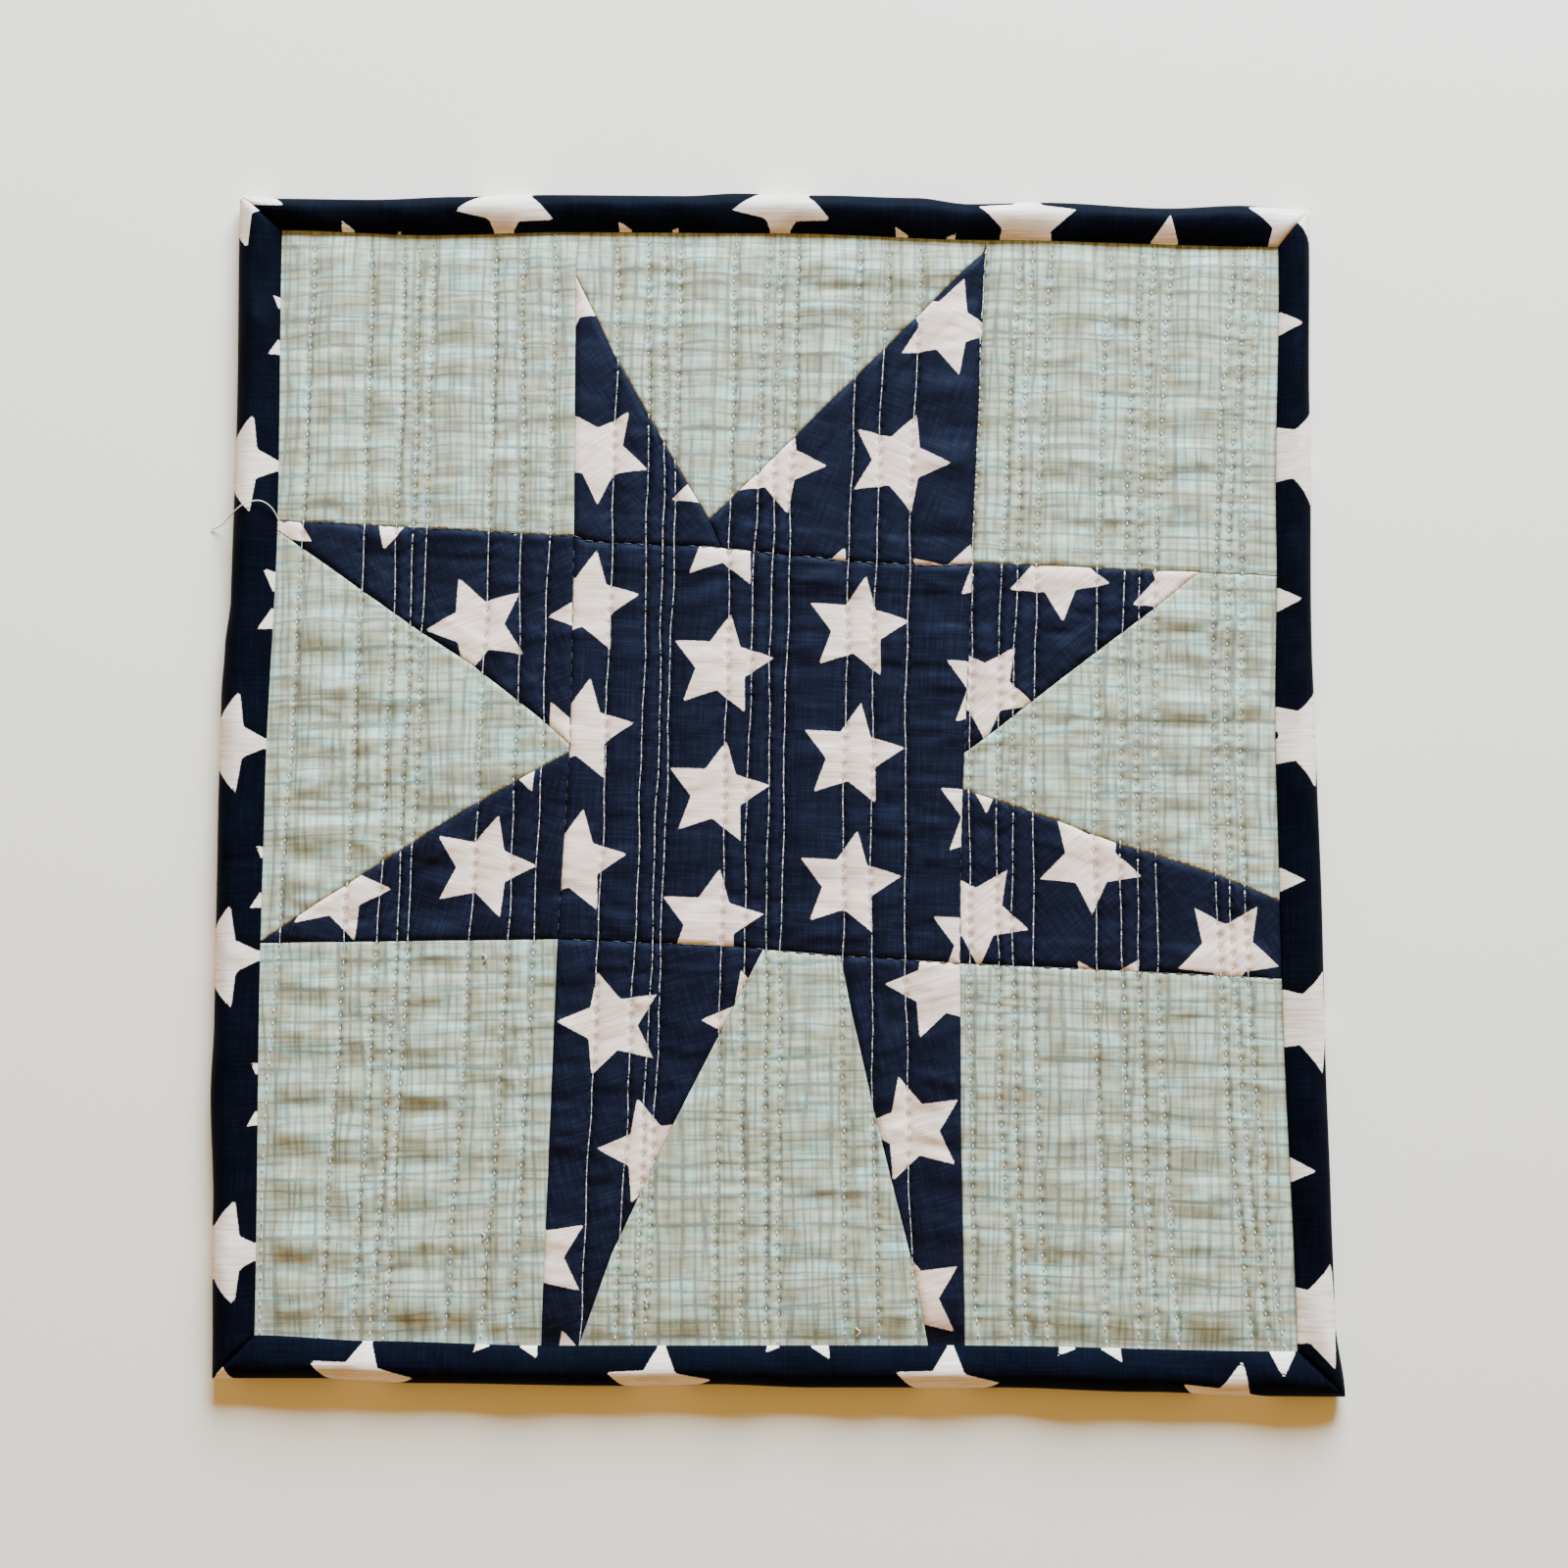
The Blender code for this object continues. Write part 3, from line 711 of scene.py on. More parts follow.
@dataclass(frozen=True)
class StarPrintCotton(PlainWeave):
    """Deep navy cotton, printed with fat off-white stars whose ink sits in the weave."""

    roughness: float = 0.6
    specular: float = 0.08
    sheen: float = 0.0
    gloss_tint: str = "#a8c8ff"
    navy: str = "#10111e"
    navy_worn: str = "#1a1d31"
    white: str = "#ffe6da"
    white_thin: str = "#dabfae"
    bleed: float = 0.3  # how far the ink runs along the threads at a star's edge
    bleed_cell: Point = (0.45, 0.45)
    edge_blur: float = 0.09
    # Between which values of the threads' noise the ink is thinned, and the navy worn
    streak_range: Point = (0.35, 0.7)
    speck_range: Point = (0.22, 0.42)

    def material(self) -> bpy.types.Material:
        """Makes the printed cloth's material."""
        material, shader, cloth = self.ground()
        tree = material.node_tree
        weft, warp = self.weave_bump(tree, shader, cloth)
        depth = add_node(tree, "ShaderNodeAttribute", output="Fac", attribute_name="star_mm")
        uneven = noise_of(tree, cloth, self.bleed_cell, shift=5.0, detail=2.0)
        ragged = add_node(tree, MATH, (uneven, self.bleed, -0.5 * self.bleed), operation="MULTIPLY_ADD")
        inside = add_node(tree, MATH, (depth, ragged), operation="ADD")
        star = add_node(tree, RANGE, (inside, -self.edge_blur, self.edge_blur),
                        interpolation_type="SMOOTHSTEP")
        streak = add_node(tree, RANGE, (weft, *self.streak_range))
        crossings = add_node(tree, MATH, (weft, warp), operation="MULTIPLY")
        speck = add_node(tree, RANGE, (crossings, *self.speck_range))
        ground = add_node(tree, MIX, {
            FACTOR: speck, FIRST: linear(self.navy), SECOND: linear(self.navy_worn)},
            output=MIXED, data_type="RGBA")
        ink = add_node(tree, MIX, {
            FACTOR: streak, FIRST: linear(self.white), SECOND: linear(self.white_thin)},
            output=MIXED, data_type="RGBA")
        printed = add_node(tree, MIX, {FACTOR: star, FIRST: ground, SECOND: ink},
                           output=MIXED, data_type="RGBA")
        tree.links.new(printed, shader.inputs["Base Color"])
        return material


@dataclass(frozen=True)
class PlainCotton(PlainWeave):
    """Unprinted cotton, such as the back of a small quilt has."""

    colour: str = "#ded6c6"
    thin_colour: str = "#c9bfab"

    def material(self) -> bpy.types.Material:
        """Makes the plain cloth's material."""
        material, shader, cloth = self.ground()
        tree = material.node_tree
        weft, warp = self.weave_bump(tree, shader, cloth)
        both = add_node(tree, MATH, (weft, warp), operation="ADD")
        mean = add_node(tree, MATH, (both, 0.5), operation="MULTIPLY")
        woven = add_node(tree, MIX, {
            FACTOR: mean, FIRST: linear(self.colour), SECOND: linear(self.thin_colour)},
            output=MIXED, data_type="RGBA")
        tree.links.new(woven, shader.inputs["Base Color"])
        return material


@dataclass(frozen=True)
class SewingThread:
    """Twisted polyester thread: smooth, so that its raised loops catch the light."""

    name: str
    colour: str
    shade: str
    roughness: float = 0.34
    sheen: float = 0.2
    twist: float = 0.6  # length over which the shade of the twist changes

    def material(self) -> bpy.types.Material:
        """Makes the thread's material."""
        material, shader = new_material(self.name, {"Roughness": self.roughness, "Sheen Weight": self.sheen})
        tree = material.node_tree
        spot = add_node(tree, "ShaderNodeTexCoord", output="Object")
        twist = add_node(tree, "ShaderNodeTexNoise", {"Vector": spot, "Scale": 1.0 / (self.twist * MM)},
                         output="Fac")
        twisted = add_node(tree, MIX, {
            FACTOR: twist, FIRST: linear(self.colour), SECOND: linear(self.shade)},
            output=MIXED, data_type="RGBA")
        tree.links.new(twisted, shader.inputs["Base Color"])
        return material


@dataclass
class Relief:
    """Height of the quilted face: puffs between the quilting lines, troughs, stitch dimples and puckers."""

    seam_top: float = 2.9  # the face pressed down along the binding's seam
    trough: float = 3.1
    edge_rise: float = 6.0
    puff_base: float = 0.35
    puff_rate: float = 0.075
    puff_most: float = 1.15
    puff_roundness: float = 0.7
    groove_depth: float = 0.24
    groove_breadth: float = 0.45
    dimple_depth: float = 0.44
    dimple_breadth: float = 0.5
    pucker_height: float = 0.42
    pucker_gap: float = 5.0  # puckers reach their height where the lines are this far apart
    pucker_sway: float = 1.6
    fine_share: float = 0.45  # height of the finest puckers, as a share of the others
    even_share: float = 0.65  # how much of the puckers' height is the same all over
    ripple_gap: float = 9.0  # ripples reach their height where the lines are this far apart
    ripple_sway: float = 1.5
    ripple_step: float = 0.8  # how far the ripples' rows are out of step at most, in radians
    ripple_turn: float = 2.1  # how this changes from row to row
    ripple_edge: float = 0.95  # near 1, ripples have straight flanks and sharp crests
    ripple_strength: Point = (0.85, 0.25)  # of their height: the even part, and the uneven one
    # How much of the creases, puckers and ripples is left where the cloth is sewn down
    sewn_crease: float = 0.35
    sewn_pucker: float = 0.3
    sewn_ripple: float = 0.12
    least_gap: float = 0.05
    # Sways of the sewn lines: how far, over what length, and how far each line is out of step
    line_sways: tuple[Spot, ...] = ((0.16, 7.3, 1.9), (0.09, 2.9, 0.7))

    def line_x(self, number: int, y: np.ndarray) -> np.ndarray:
        """Gives where a quilting line crosses y, with the slight sway of hand-guided sewing."""
        top, middle, bottom = LINES[number]
        t = y / LINE_REACH
        x = middle + 0.5 * (top - bottom) * t + (0.5 * (top + bottom) - middle) * t * t
        for far, long, step in self.line_sways:
            x = x + far * np.sin(y / long + step * number)
        return np.clip(x, read(SEWN["left"], y) + LINE_MARGIN, read(SEWN["right"], y) - LINE_MARGIN)

    def hole_shift(self, number: np.ndarray | int) -> np.ndarray | float:
        """Gives how far a line's needle holes are moved along it."""
        return (number * HOLE_STEP * STITCH_PITCH) % STITCH_PITCH

    def inside(self, x: np.ndarray, y: np.ndarray) -> np.ndarray:
        """Gives how far points are inside the binding's seam."""
        return np.minimum.reduce([x - read(SEWN["left"], y), read(SEWN["right"], y) - x,
                                  y - read(SEWN["bottom"], x), read(SEWN["top"], x) - y])

    def creases(self, x: np.ndarray, y: np.ndarray) -> np.ndarray:
        """Gives what the soft creases add."""
        total = np.zeros_like(x)
        for middle_x, middle_y, half_length, half_breadth, height in CREASES:
            across = (y - middle_y) / half_breadth
            total += height * np.exp(-((x - middle_x) / half_length) ** 2 - across * across)
        return total

    def puckers(self, x: np.ndarray, y: np.ndarray) -> np.ndarray:
        """Gives short level ripples that sewing many upright lines has drawn up."""
        sway = self.pucker_sway * lattice_noise(x, y, *NOISES["pucker_sway"])
        broad = lattice_noise(x, y + sway, *NOISES["pucker"])
        fine = lattice_noise(x, y + sway, *NOISES["fine_pucker"])
        uneven = (1.0 - self.even_share) * lattice_noise(x, y, *NOISES["pucker_strength"])
        return self.pucker_height * (self.even_share + uneven) * (broad + self.fine_share * fine)

    def ripples(self, x: np.ndarray, y: np.ndarray, row: np.ndarray) -> np.ndarray:
        """Gives the ripples that run level from one quilting line to the next, out of step row by row."""
        strength = np.zeros_like(x)
        for middle_x, middle_y, half_width, half_length, height in RIPPLED:
            strength += height * np.exp(-((x - middle_x) / half_width) ** 2
                                        - ((y - middle_y) / half_length) ** 2)
        sway = self.ripple_sway * lattice_noise(x, y, *NOISES["ripple_sway"])
        step = self.ripple_step * np.sin(self.ripple_turn * row)
        turn = 2.0 * np.pi * (y - RIPPLE_START + sway) / RIPPLE_LENGTH + step
        ramps = np.arcsin(self.ripple_edge * np.sin(turn)) / math.asin(self.ripple_edge)
        even, uneven = self.ripple_strength
        return strength * (even + uneven * lattice_noise(x, y, *NOISES["ripple_strength"])) * ramps

    def height(self, x: np.ndarray, y: np.ndarray, stitched: bool = True) -> np.ndarray:
        """Gives the face's height.

        Args:
            x: places to the right.
            y: places away.
            stitched: whether the needle holes' dimples count.

        Returns:
            Heights in millimetres.
        """
        rows = np.stack([read(SEWN["left"], y)] + [self.line_x(n, y) for n in range(len(LINES))]
                        + [read(SEWN["right"], y)])
        right = np.clip((rows < x).sum(axis=0), 1, len(rows) - 1)
        low = np.take_along_axis(rows, (right - 1)[None], 0)[0]
        high = np.take_along_axis(rows, right[None], 0)[0]
        gap = np.maximum(high - low, self.least_gap)
        share = np.clip((x - low) / gap, 0.0, 1.0)
        arch = np.sin(np.pi * share) ** self.puff_roundness
        rise = np.minimum(self.puff_base + self.puff_rate * gap, self.puff_most) * arch
        near_low = x - low < high - x
        near = np.where(near_low, x - low, high - x)
        line = np.where(near_low, right - 2, right - 1)
        sewn = (line >= 0) & (line < len(LINES))
        groove = self.groove_depth * np.exp(-(near / self.groove_breadth) ** 2)
        if stitched:
            phase = np.cos(np.pi * (y - self.hole_shift(line)) / STITCH_PITCH) ** 2
            groove = groove + self.dimple_depth * phase ** 2 * np.exp(-(near / self.dimple_breadth) ** 2)
        height = self.trough + rise + self.creases(x, y) * np.minimum(1.0, self.sewn_crease + rise)
        loose = (1.0 - self.sewn_pucker) * arch * np.minimum(gap / self.pucker_gap, 1.0)
        height = height + self.puckers(x, y) * (self.sewn_pucker + loose)
        loose = (self.sewn_ripple + (1.0 - self.sewn_ripple) * arch) * np.minimum(gap / self.ripple_gap, 1.0)
        height = height + self.ripples(x, y, right) * loose
        height = height - np.where(sewn, groove, 0.0)
        return self.seam_top + (height - self.seam_top) * ease(self.inside(x, y) / self.edge_rise)


@dataclass(frozen=True)
class Patch:
    """One cut piece of the pieced top: its cloth and the junctions round it."""

    name: str
    cloth: Slot
    corners: tuple[str, ...]
    grain: float = 0.0  # degrees that the print is turned on it


PATCHES: tuple[Patch, ...] = (
    Patch("top_left_square", Slot.CROSSHATCH,
          ("corner_nw", "top_w", "tip_nw", "cross_nw", "left_row_1"), 0.6),
    Patch("top_mint", Slot.CROSSHATCH, ("top_w", "top_e", "tip_ne", "dip", "tip_nw"), -0.8),
    Patch("top_left_point", Slot.STARS, ("tip_nw", "dip", "below_dip", "cross_nw"), 36.0),
    Patch("top_right_point", Slot.STARS, ("dip", "tip_ne", "cross_ne", "below_dip"), -21.5),
    Patch("top_right_square", Slot.CROSSHATCH,
          ("top_e", "corner_ne", "right_row_1", "tip_east", "cross_ne", "tip_ne"), -1.6),
    Patch("left_upper_point", Slot.STARS, ("left_row_1", "cross_nw", "west_high", "left_tip"), 22.5),
    Patch("left_mint", Slot.CROSSHATCH, ("left_tip", "west_high", "west_low", "left_low"), 0.9),
    Patch("left_lower_point", Slot.STARS, ("left_low", "west_low", "cross_sw", "left_row_2"), -16.6),
    Patch("centre", Slot.STARS, (
        "cross_nw", "below_dip", "cross_ne", "east_high", "east_low", "cross_se", "south_e", "south_w",
        "cross_sw", "west_low", "west_high"), -2.0),
    Patch("right_upper_point", Slot.STARS, ("cross_ne", "tip_east", "east_high"), 39.5),
    Patch("right_mint", Slot.CROSSHATCH,
          ("tip_east", "right_row_1", "right_low", "east_low", "east_high"), -1.0),
    Patch("right_lower_point", Slot.STARS, ("east_low", "right_low", "right_row_2", "cross_se"), 37.5),
    Patch("bottom_left_square", Slot.CROSSHATCH, ("left_row_2", "cross_sw", "foot_1", "corner_sw"), 1.2),
    Patch("bottom_left_leg", Slot.STARS, ("cross_sw", "south_w", "foot_2", "foot_1"), 15.2),
    Patch("bottom_mint", Slot.CROSSHATCH, ("south_w", "south_e", "foot_3", "foot_2"), 0.4),
    Patch("bottom_right_leg", Slot.STARS, ("south_e", "cross_se", "foot_4", "foot_3"), 14.8),
    Patch("bottom_right_square", Slot.CROSSHATCH, ("cross_se", "right_row_2", "corner_se", "foot_4"), -1.2),
)


@dataclass
class PiecedTop:
    """The seventeen patches, sewn edge to edge and quilted."""

    relief: Relief
    finishes: dict[Slot, bpy.types.Material]
    grid: float = 0.47
    under_share: float = 0.72  # how far the patches reach under the binding, as its edge() share
    underside: float = 1.4
    seam_gap: float = 0.015
    ditch_depth: float = 0.17
    ditch_breadth: float = 0.5
    allowance_height: float = 0.17  # seam allowances lie pressed under the printed patches
    allowance_width: float = 6.0
    allowance_rise: float = 1.3  # over this width the shelf rises from the seam
    allowance_fall: float = 1.5  # and over this one it falls to the patch
    clear: float = 0.6  # lattice points stay this far inside an outline, in grid steps
    print_shift: Point = (37.0, 23.0)  # between the places of neighbouring patches on their cloth

    def junction(self, name: str) -> np.ndarray:
        """Gives a junction's place."""
        if name in MEETINGS:
            return np.array(MEETINGS[name])
        if name in UNDER_BINDING:
            side, place = UNDER_BINDING[name]
            value = float(edge(side, place, self.under_share))
            return np.array((place, value) if side in ("top", "bottom") else (value, place))
        upright, level = CORNERS[name]
        ends = {"top": 1e3, "bottom": -1e3, "left": -1e3, "right": 1e3}
        return np.array((float(edge(upright, ends[level], self.under_share)),
                         float(edge(level, ends[upright], self.under_share))))

    def side(self, start: str, end: str) -> tuple[np.ndarray, bool]:
        """Gives the line between two junctions of a patch.

        Args:
            start: the first junction.
            end: the second one.

        Returns:
            The line's points, and whether it is a seam with another patch.
        """
        if (start, end) in SEAMS:
            mids, sewn = SEAMS[(start, end)], True
        elif (end, start) in SEAMS:
            mids, sewn = SEAMS[(end, start)][::-1], True
        else:
            mids, sewn = (), False
        return np.array([self.junction(start), *map(np.array, mids), self.junction(end)]), sewn

    def outline(self, patch: Patch) -> tuple[np.ndarray, list[np.ndarray]]:
        """Gives a patch's closed outline at the grid's spacing, and its seams.

        Args:
            patch: the patch.

        Returns:
            The outline's points, counter-clockwise, and each seam's line.
        """
        found, seams = [], []
        for start, end in zip(patch.corners, patch.corners[1:] + patch.corners[:1]):
            line, sewn = self.side(start, end)
            if sewn:
                seams.append(line)
            for a, b in zip(line[:-1], line[1:]):
                steps = max(1, math.ceil(float(np.hypot(*(b - a))) / self.grid))
                found += [a + (b - a) * step / steps for step in range(steps)]
        ring = np.array(found)
        if signed_area(ring) < 0.0:
            ring = ring[::-1]
        return ring, seams

    def drawn_in(self, ring: np.ndarray) -> np.ndarray:
        """Moves a counter-clockwise outline inwards by the seam's gap."""
        way = np.roll(ring, -1, axis=0) - np.roll(ring, 1, axis=0)
        inward = np.stack([-way[:, 1], way[:, 0]], axis=1) / np.hypot(way[:, 0], way[:, 1])[:, None]
        return ring + inward * self.seam_gap

    def lattice(self, ring: np.ndarray) -> np.ndarray:
        """Gives the grid points that lie inside an outline and clear of it."""
        low, high = ring.min(axis=0), ring.max(axis=0)
        row_step = self.grid * math.sqrt(0.75)
        rows = np.arange(low[1], high[1], row_step)
        columns = np.arange(low[0], high[0], self.grid)
        x, y = np.meshgrid(columns, rows)
        x = x + np.where(np.arange(len(rows)) % 2, 0.5 * self.grid, 0.0)[:, None]
        points = np.stack([x.ravel(), y.ravel()], axis=1)
        points = points[within(ring, points)]
        nearest = KDTree(len(ring))
        for number, (a, b) in enumerate(ring):
            nearest.insert((a, b, 0.0), number)
        nearest.balance()
        away = np.array([nearest.find((a, b, 0.0))[2] for a, b in points])
        return points[away > self.clear * self.grid]

    def surface(self, patch: Patch, points: np.ndarray, stitched: bool = True) -> np.ndarray:
        """Gives the face's height on one patch, with its seams' ditches and pressed allowances.

        Args:
            patch: which one.
            points: N by 2 on it.
            stitched: whether the needle holes' dimples count.

        Returns:
            N heights.
        """
        height = self.relief.height(points[:, 0], points[:, 1], stitched)
        seam = np.minimum.reduce([distance_to(points, line) for line in self.outline(patch)[1]])
        settled = ease(self.relief.inside(points[:, 0], points[:, 1]) / self.relief.edge_rise)
        height -= self.ditch_depth * np.exp(-(seam / self.ditch_breadth) ** 2) * settled
        if patch.cloth is Slot.STARS:
            fall = (seam - self.allowance_width + self.allowance_fall) / self.allowance_fall
            shelf = ease(seam / self.allowance_rise) * (1.0 - ease(fall))
            height += self.allowance_height * shelf * settled
        return height

    def under_needle(self, points: np.ndarray) -> tuple[np.ndarray, np.ndarray]:
        """Gives the face's height and whether the cloth is printed with stars, at points of any patch."""
        height = self.relief.height(points[:, 0], points[:, 1], stitched=False)
        printed = np.zeros(len(points), bool)
        for patch in PATCHES:
            mine = within(self.outline(patch)[0], points)
            height[mine] = self.surface(patch, points[mine], stitched=False)
            printed[mine] = patch.cloth is Slot.STARS
        return height, printed

    def build(self, patch: Patch) -> bpy.types.Object:
        """Builds one patch as a closed sheet and dresses it.

        Args:
            patch: which one.

        Returns:
            The piece.
        """
        ring = self.drawn_in(self.outline(patch)[0])
        flat, faces = filled(ring, self.lattice(ring))
        _, floor_faces = filled(ring, np.zeros((0, 2)))
        top = np.column_stack([flat, self.surface(patch, flat)])
        below = np.column_stack([ring, np.full(len(ring), self.underside)])
        start = len(top)
        following = [(a + 1) % len(ring) for a in range(len(ring))]
        walls = [(a, start + a, start + b, b) for a, b in enumerate(following)]
        floor = [tuple(start + i for i in reversed(face)) for face in floor_faces]
        points = np.concatenate([top, below])
        faces = faces + walls + floor
        turn = math.radians(-patch.grain)
        spin = np.array([[math.cos(turn), -math.sin(turn)], [math.sin(turn), math.cos(turn)]])
        cloth = np.zeros((len(points), 3))
        cloth[:, :2] = points[:, :2] @ spin.T + PATCHES.index(patch) * np.array(self.print_shift)
        fields = {"cloth_mm": cloth}
        if patch.cloth is Slot.STARS:
            stars = ((x, y, tilt) for tilt, middles in PRINT[patch.name] for x, y in middles)
            fields["star_mm"] = print_depth(points[:, :2], stars)
        piece = make_piece(f"patch_{patch.name}", points, faces, self.finishes[patch.cloth], fields)
        dress(piece, "quilt_panel")
        return piece


@dataclass
class Binding:
    """The binding's four sides: a cloth strip rolled over the quilt's edge, mitred at the corners."""

    finish: bpy.types.Material
    station: float = 0.6
    mitre_gap: float = 0.05
    lip: float = 3.05  # underside of its edge on the front
    crown: float = 5.3
    wave_height: float = 0.40
    wave_lengths: Point = (37.0, 21.0)
    front_width: float = 8.5
    # Wrinkles across the roll: which noise, height, and how much they slant
    wrinkles: tuple[tuple[str, float, float], ...] = (("wrinkle", 0.16, 0.6), ("fine_wrinkle", 0.10, -0.5))
    # How deep and how broad the roll sinks in at a mitre, and where lengths of the strip are joined
    mitre_sink: Point = (0.5, 0.7)
    join_sink: Point = (0.28, 0.45)
    cloth_shift: float = 61.0  # moves each side to another place on its cloth

    # Cross section: share of the width from the outer edge (0) to the sewn line (1), height
    profile: Table = (
        (1.000, 3.05), (0.997, 3.25), (0.985, 3.45), (0.962, 3.64), (0.93, 3.82), (0.88, 4.04), (0.82, 4.28),
        (0.75, 4.54), (0.67, 4.80), (0.59, 5.02), (0.50, 5.20), (0.42, 5.29), (0.34, 5.24), (0.27, 5.04),
        (0.20, 4.68), (0.14, 4.34), (0.09, 3.95), (0.05, 3.50), (0.02, 2.98), (0.0, 2.40), (0.002, 1.85),
        (0.015, 1.30), (0.04, 0.85), (0.08, 0.45), (0.13, 0.18), (0.20, 0.02), (0.27, 0.0), (0.35, 0.0),
        (0.43, 0.0), (0.51, 0.0), (0.59, 0.0), (0.67, 0.0), (0.75, 0.0), (0.83, 0.0), (0.92, 0.0),
        (1.00, 0.02), (1.03, 0.22), (1.00, 0.5), (0.60, 0.55), (0.26, 0.6), (0.17, 1.2), (0.15, 2.4),
        (0.20, 3.3), (0.30, 3.75), (0.45, 3.9), (0.70, 3.7), (0.93, 3.2), (0.97, 3.05),
    )
    flat_from: int = 3  # the profile's point from which the cloth is measured flat
    outer_steps: int = 35  # how many of the profile's steps, from the first, make its outer face

    def heights(self, side: str, t: np.ndarray, place: np.ndarray) -> np.ndarray:
        """Gives a side's heights: its profile with waves and wrinkles, sunk in at joins and mitres.

        Args:
            side: top, bottom, left or right.
            t: how far along the side each cross section is, from 0 to 1.
            place: the points' places along the side, with a row for each cross section.

        Returns:
            A row of heights for each cross section.
        """
        share, height = np.array(self.profile).T
        start, end = OUTER[side][0][0], OUTER[side][-1][0]
        turns = [2.0 * np.pi * (start + (end - start) * t) / long for long in self.wave_lengths]
        wave = sum(np.sin(turn + WAVE_SHIFTS[side]) for turn in turns)
        above = np.clip((height - self.lip) / (self.crown - self.lip), 0.0, 1.0)
        across = (1.0 - share) * self.front_width
        wrinkle = np.zeros_like(place)
        for kind, tall, slant in self.wrinkles:
            cell, number = NOISES[kind]
            seed = SIDE_SEEDS[side] + number
            wrinkle += tall * lattice_noise(place + slant * across, across + 0 * place, cell, seed)
        z = height + (self.wave_height * 0.5 * wave[:, None] + wrinkle) * above
        to_mitre = np.minimum(t, 1.0 - t) * (end - start)
        depth, breadth = self.mitre_sink
        z -= depth * np.exp(-(to_mitre / breadth) ** 2)[:, None] * above
        depth, breadth = self.join_sink
        for join in STRIP_JOINS[side]:
            z -= depth * np.exp(-((place - join) / breadth) ** 2) * above
        return z

    def build(self, side: str) -> bpy.types.Object:
        """Builds and dresses one side.

        Args:
            side: top, bottom, left or right.

        Returns:
            The piece.
        """
        outer, sewn = np.array(OUTER[side]), np.array(SEWN[side])
        length = outer[-1, 0] - outer[0, 0]
        count = round(length / self.station)
        t = np.linspace(self.mitre_gap / length, 1.0 - self.mitre_gap / length, count + 1)
        outer_place = outer[0, 0] + length * t
        sewn_place = sewn[0, 0] + (sewn[-1, 0] - sewn[0, 0]) * t
        outer_value, sewn_value = read(OUTER[side], outer_place), read(SEWN[side], sewn_place)
        share = np.array(self.profile)[:, 0]
        place = outer_place[:, None] + (sewn_place - outer_place)[:, None] * share
        value = outer_value[:, None] + (sewn_value - outer_value)[:, None] * share
        z = self.heights(side, t, place)
        steps = np.hypot(np.diff(value, axis=1), np.diff(z, axis=1))
        arc = np.concatenate([np.zeros((count + 1, 1)), np.cumsum(steps, axis=1)], axis=1)
        width = np.abs(outer_value - sewn_value)[:, None]
        arc = np.maximum(arc - arc[:, [self.flat_from]], 0.0) + (1.0 - share[self.flat_from]) * width
        outward = 1.0 if side in ("top", "right") else -1.0
        flat_value = sewn_value[:, None] + outward * arc
        level = side in ("top", "bottom")
        columns = (place, value, z) if level else (value, place, z)
        points = np.stack([c.ravel() for c in columns], axis=1)
        flat = np.stack([c.ravel() for c in ((place, flat_value) if level else (flat_value, place))], axis=1)
        around = len(self.profile)
        faces = [(s * around + i, s * around + (i + 1) % around, (s + 1) * around + (i + 1) % around,
                  (s + 1) * around + i) for s in range(count) for i in range(around)]
        faces.append(tuple(reversed(range(around))))
        faces.append(tuple(range(count * around, (count + 1) * around)))
        shift = self.cloth_shift * (SIDE_SEEDS[side] + 1)
        cloth = np.column_stack([flat + shift, np.zeros(len(flat))])
        fields = {"cloth_mm": cloth, "star_mm": print_depth(flat, BINDING_PRINT[side])}
        piece = make_piece(f"binding_{side}_cloth", points, faces, self.finish, fields)
        dress(piece, f"binding_{side}")
        return piece


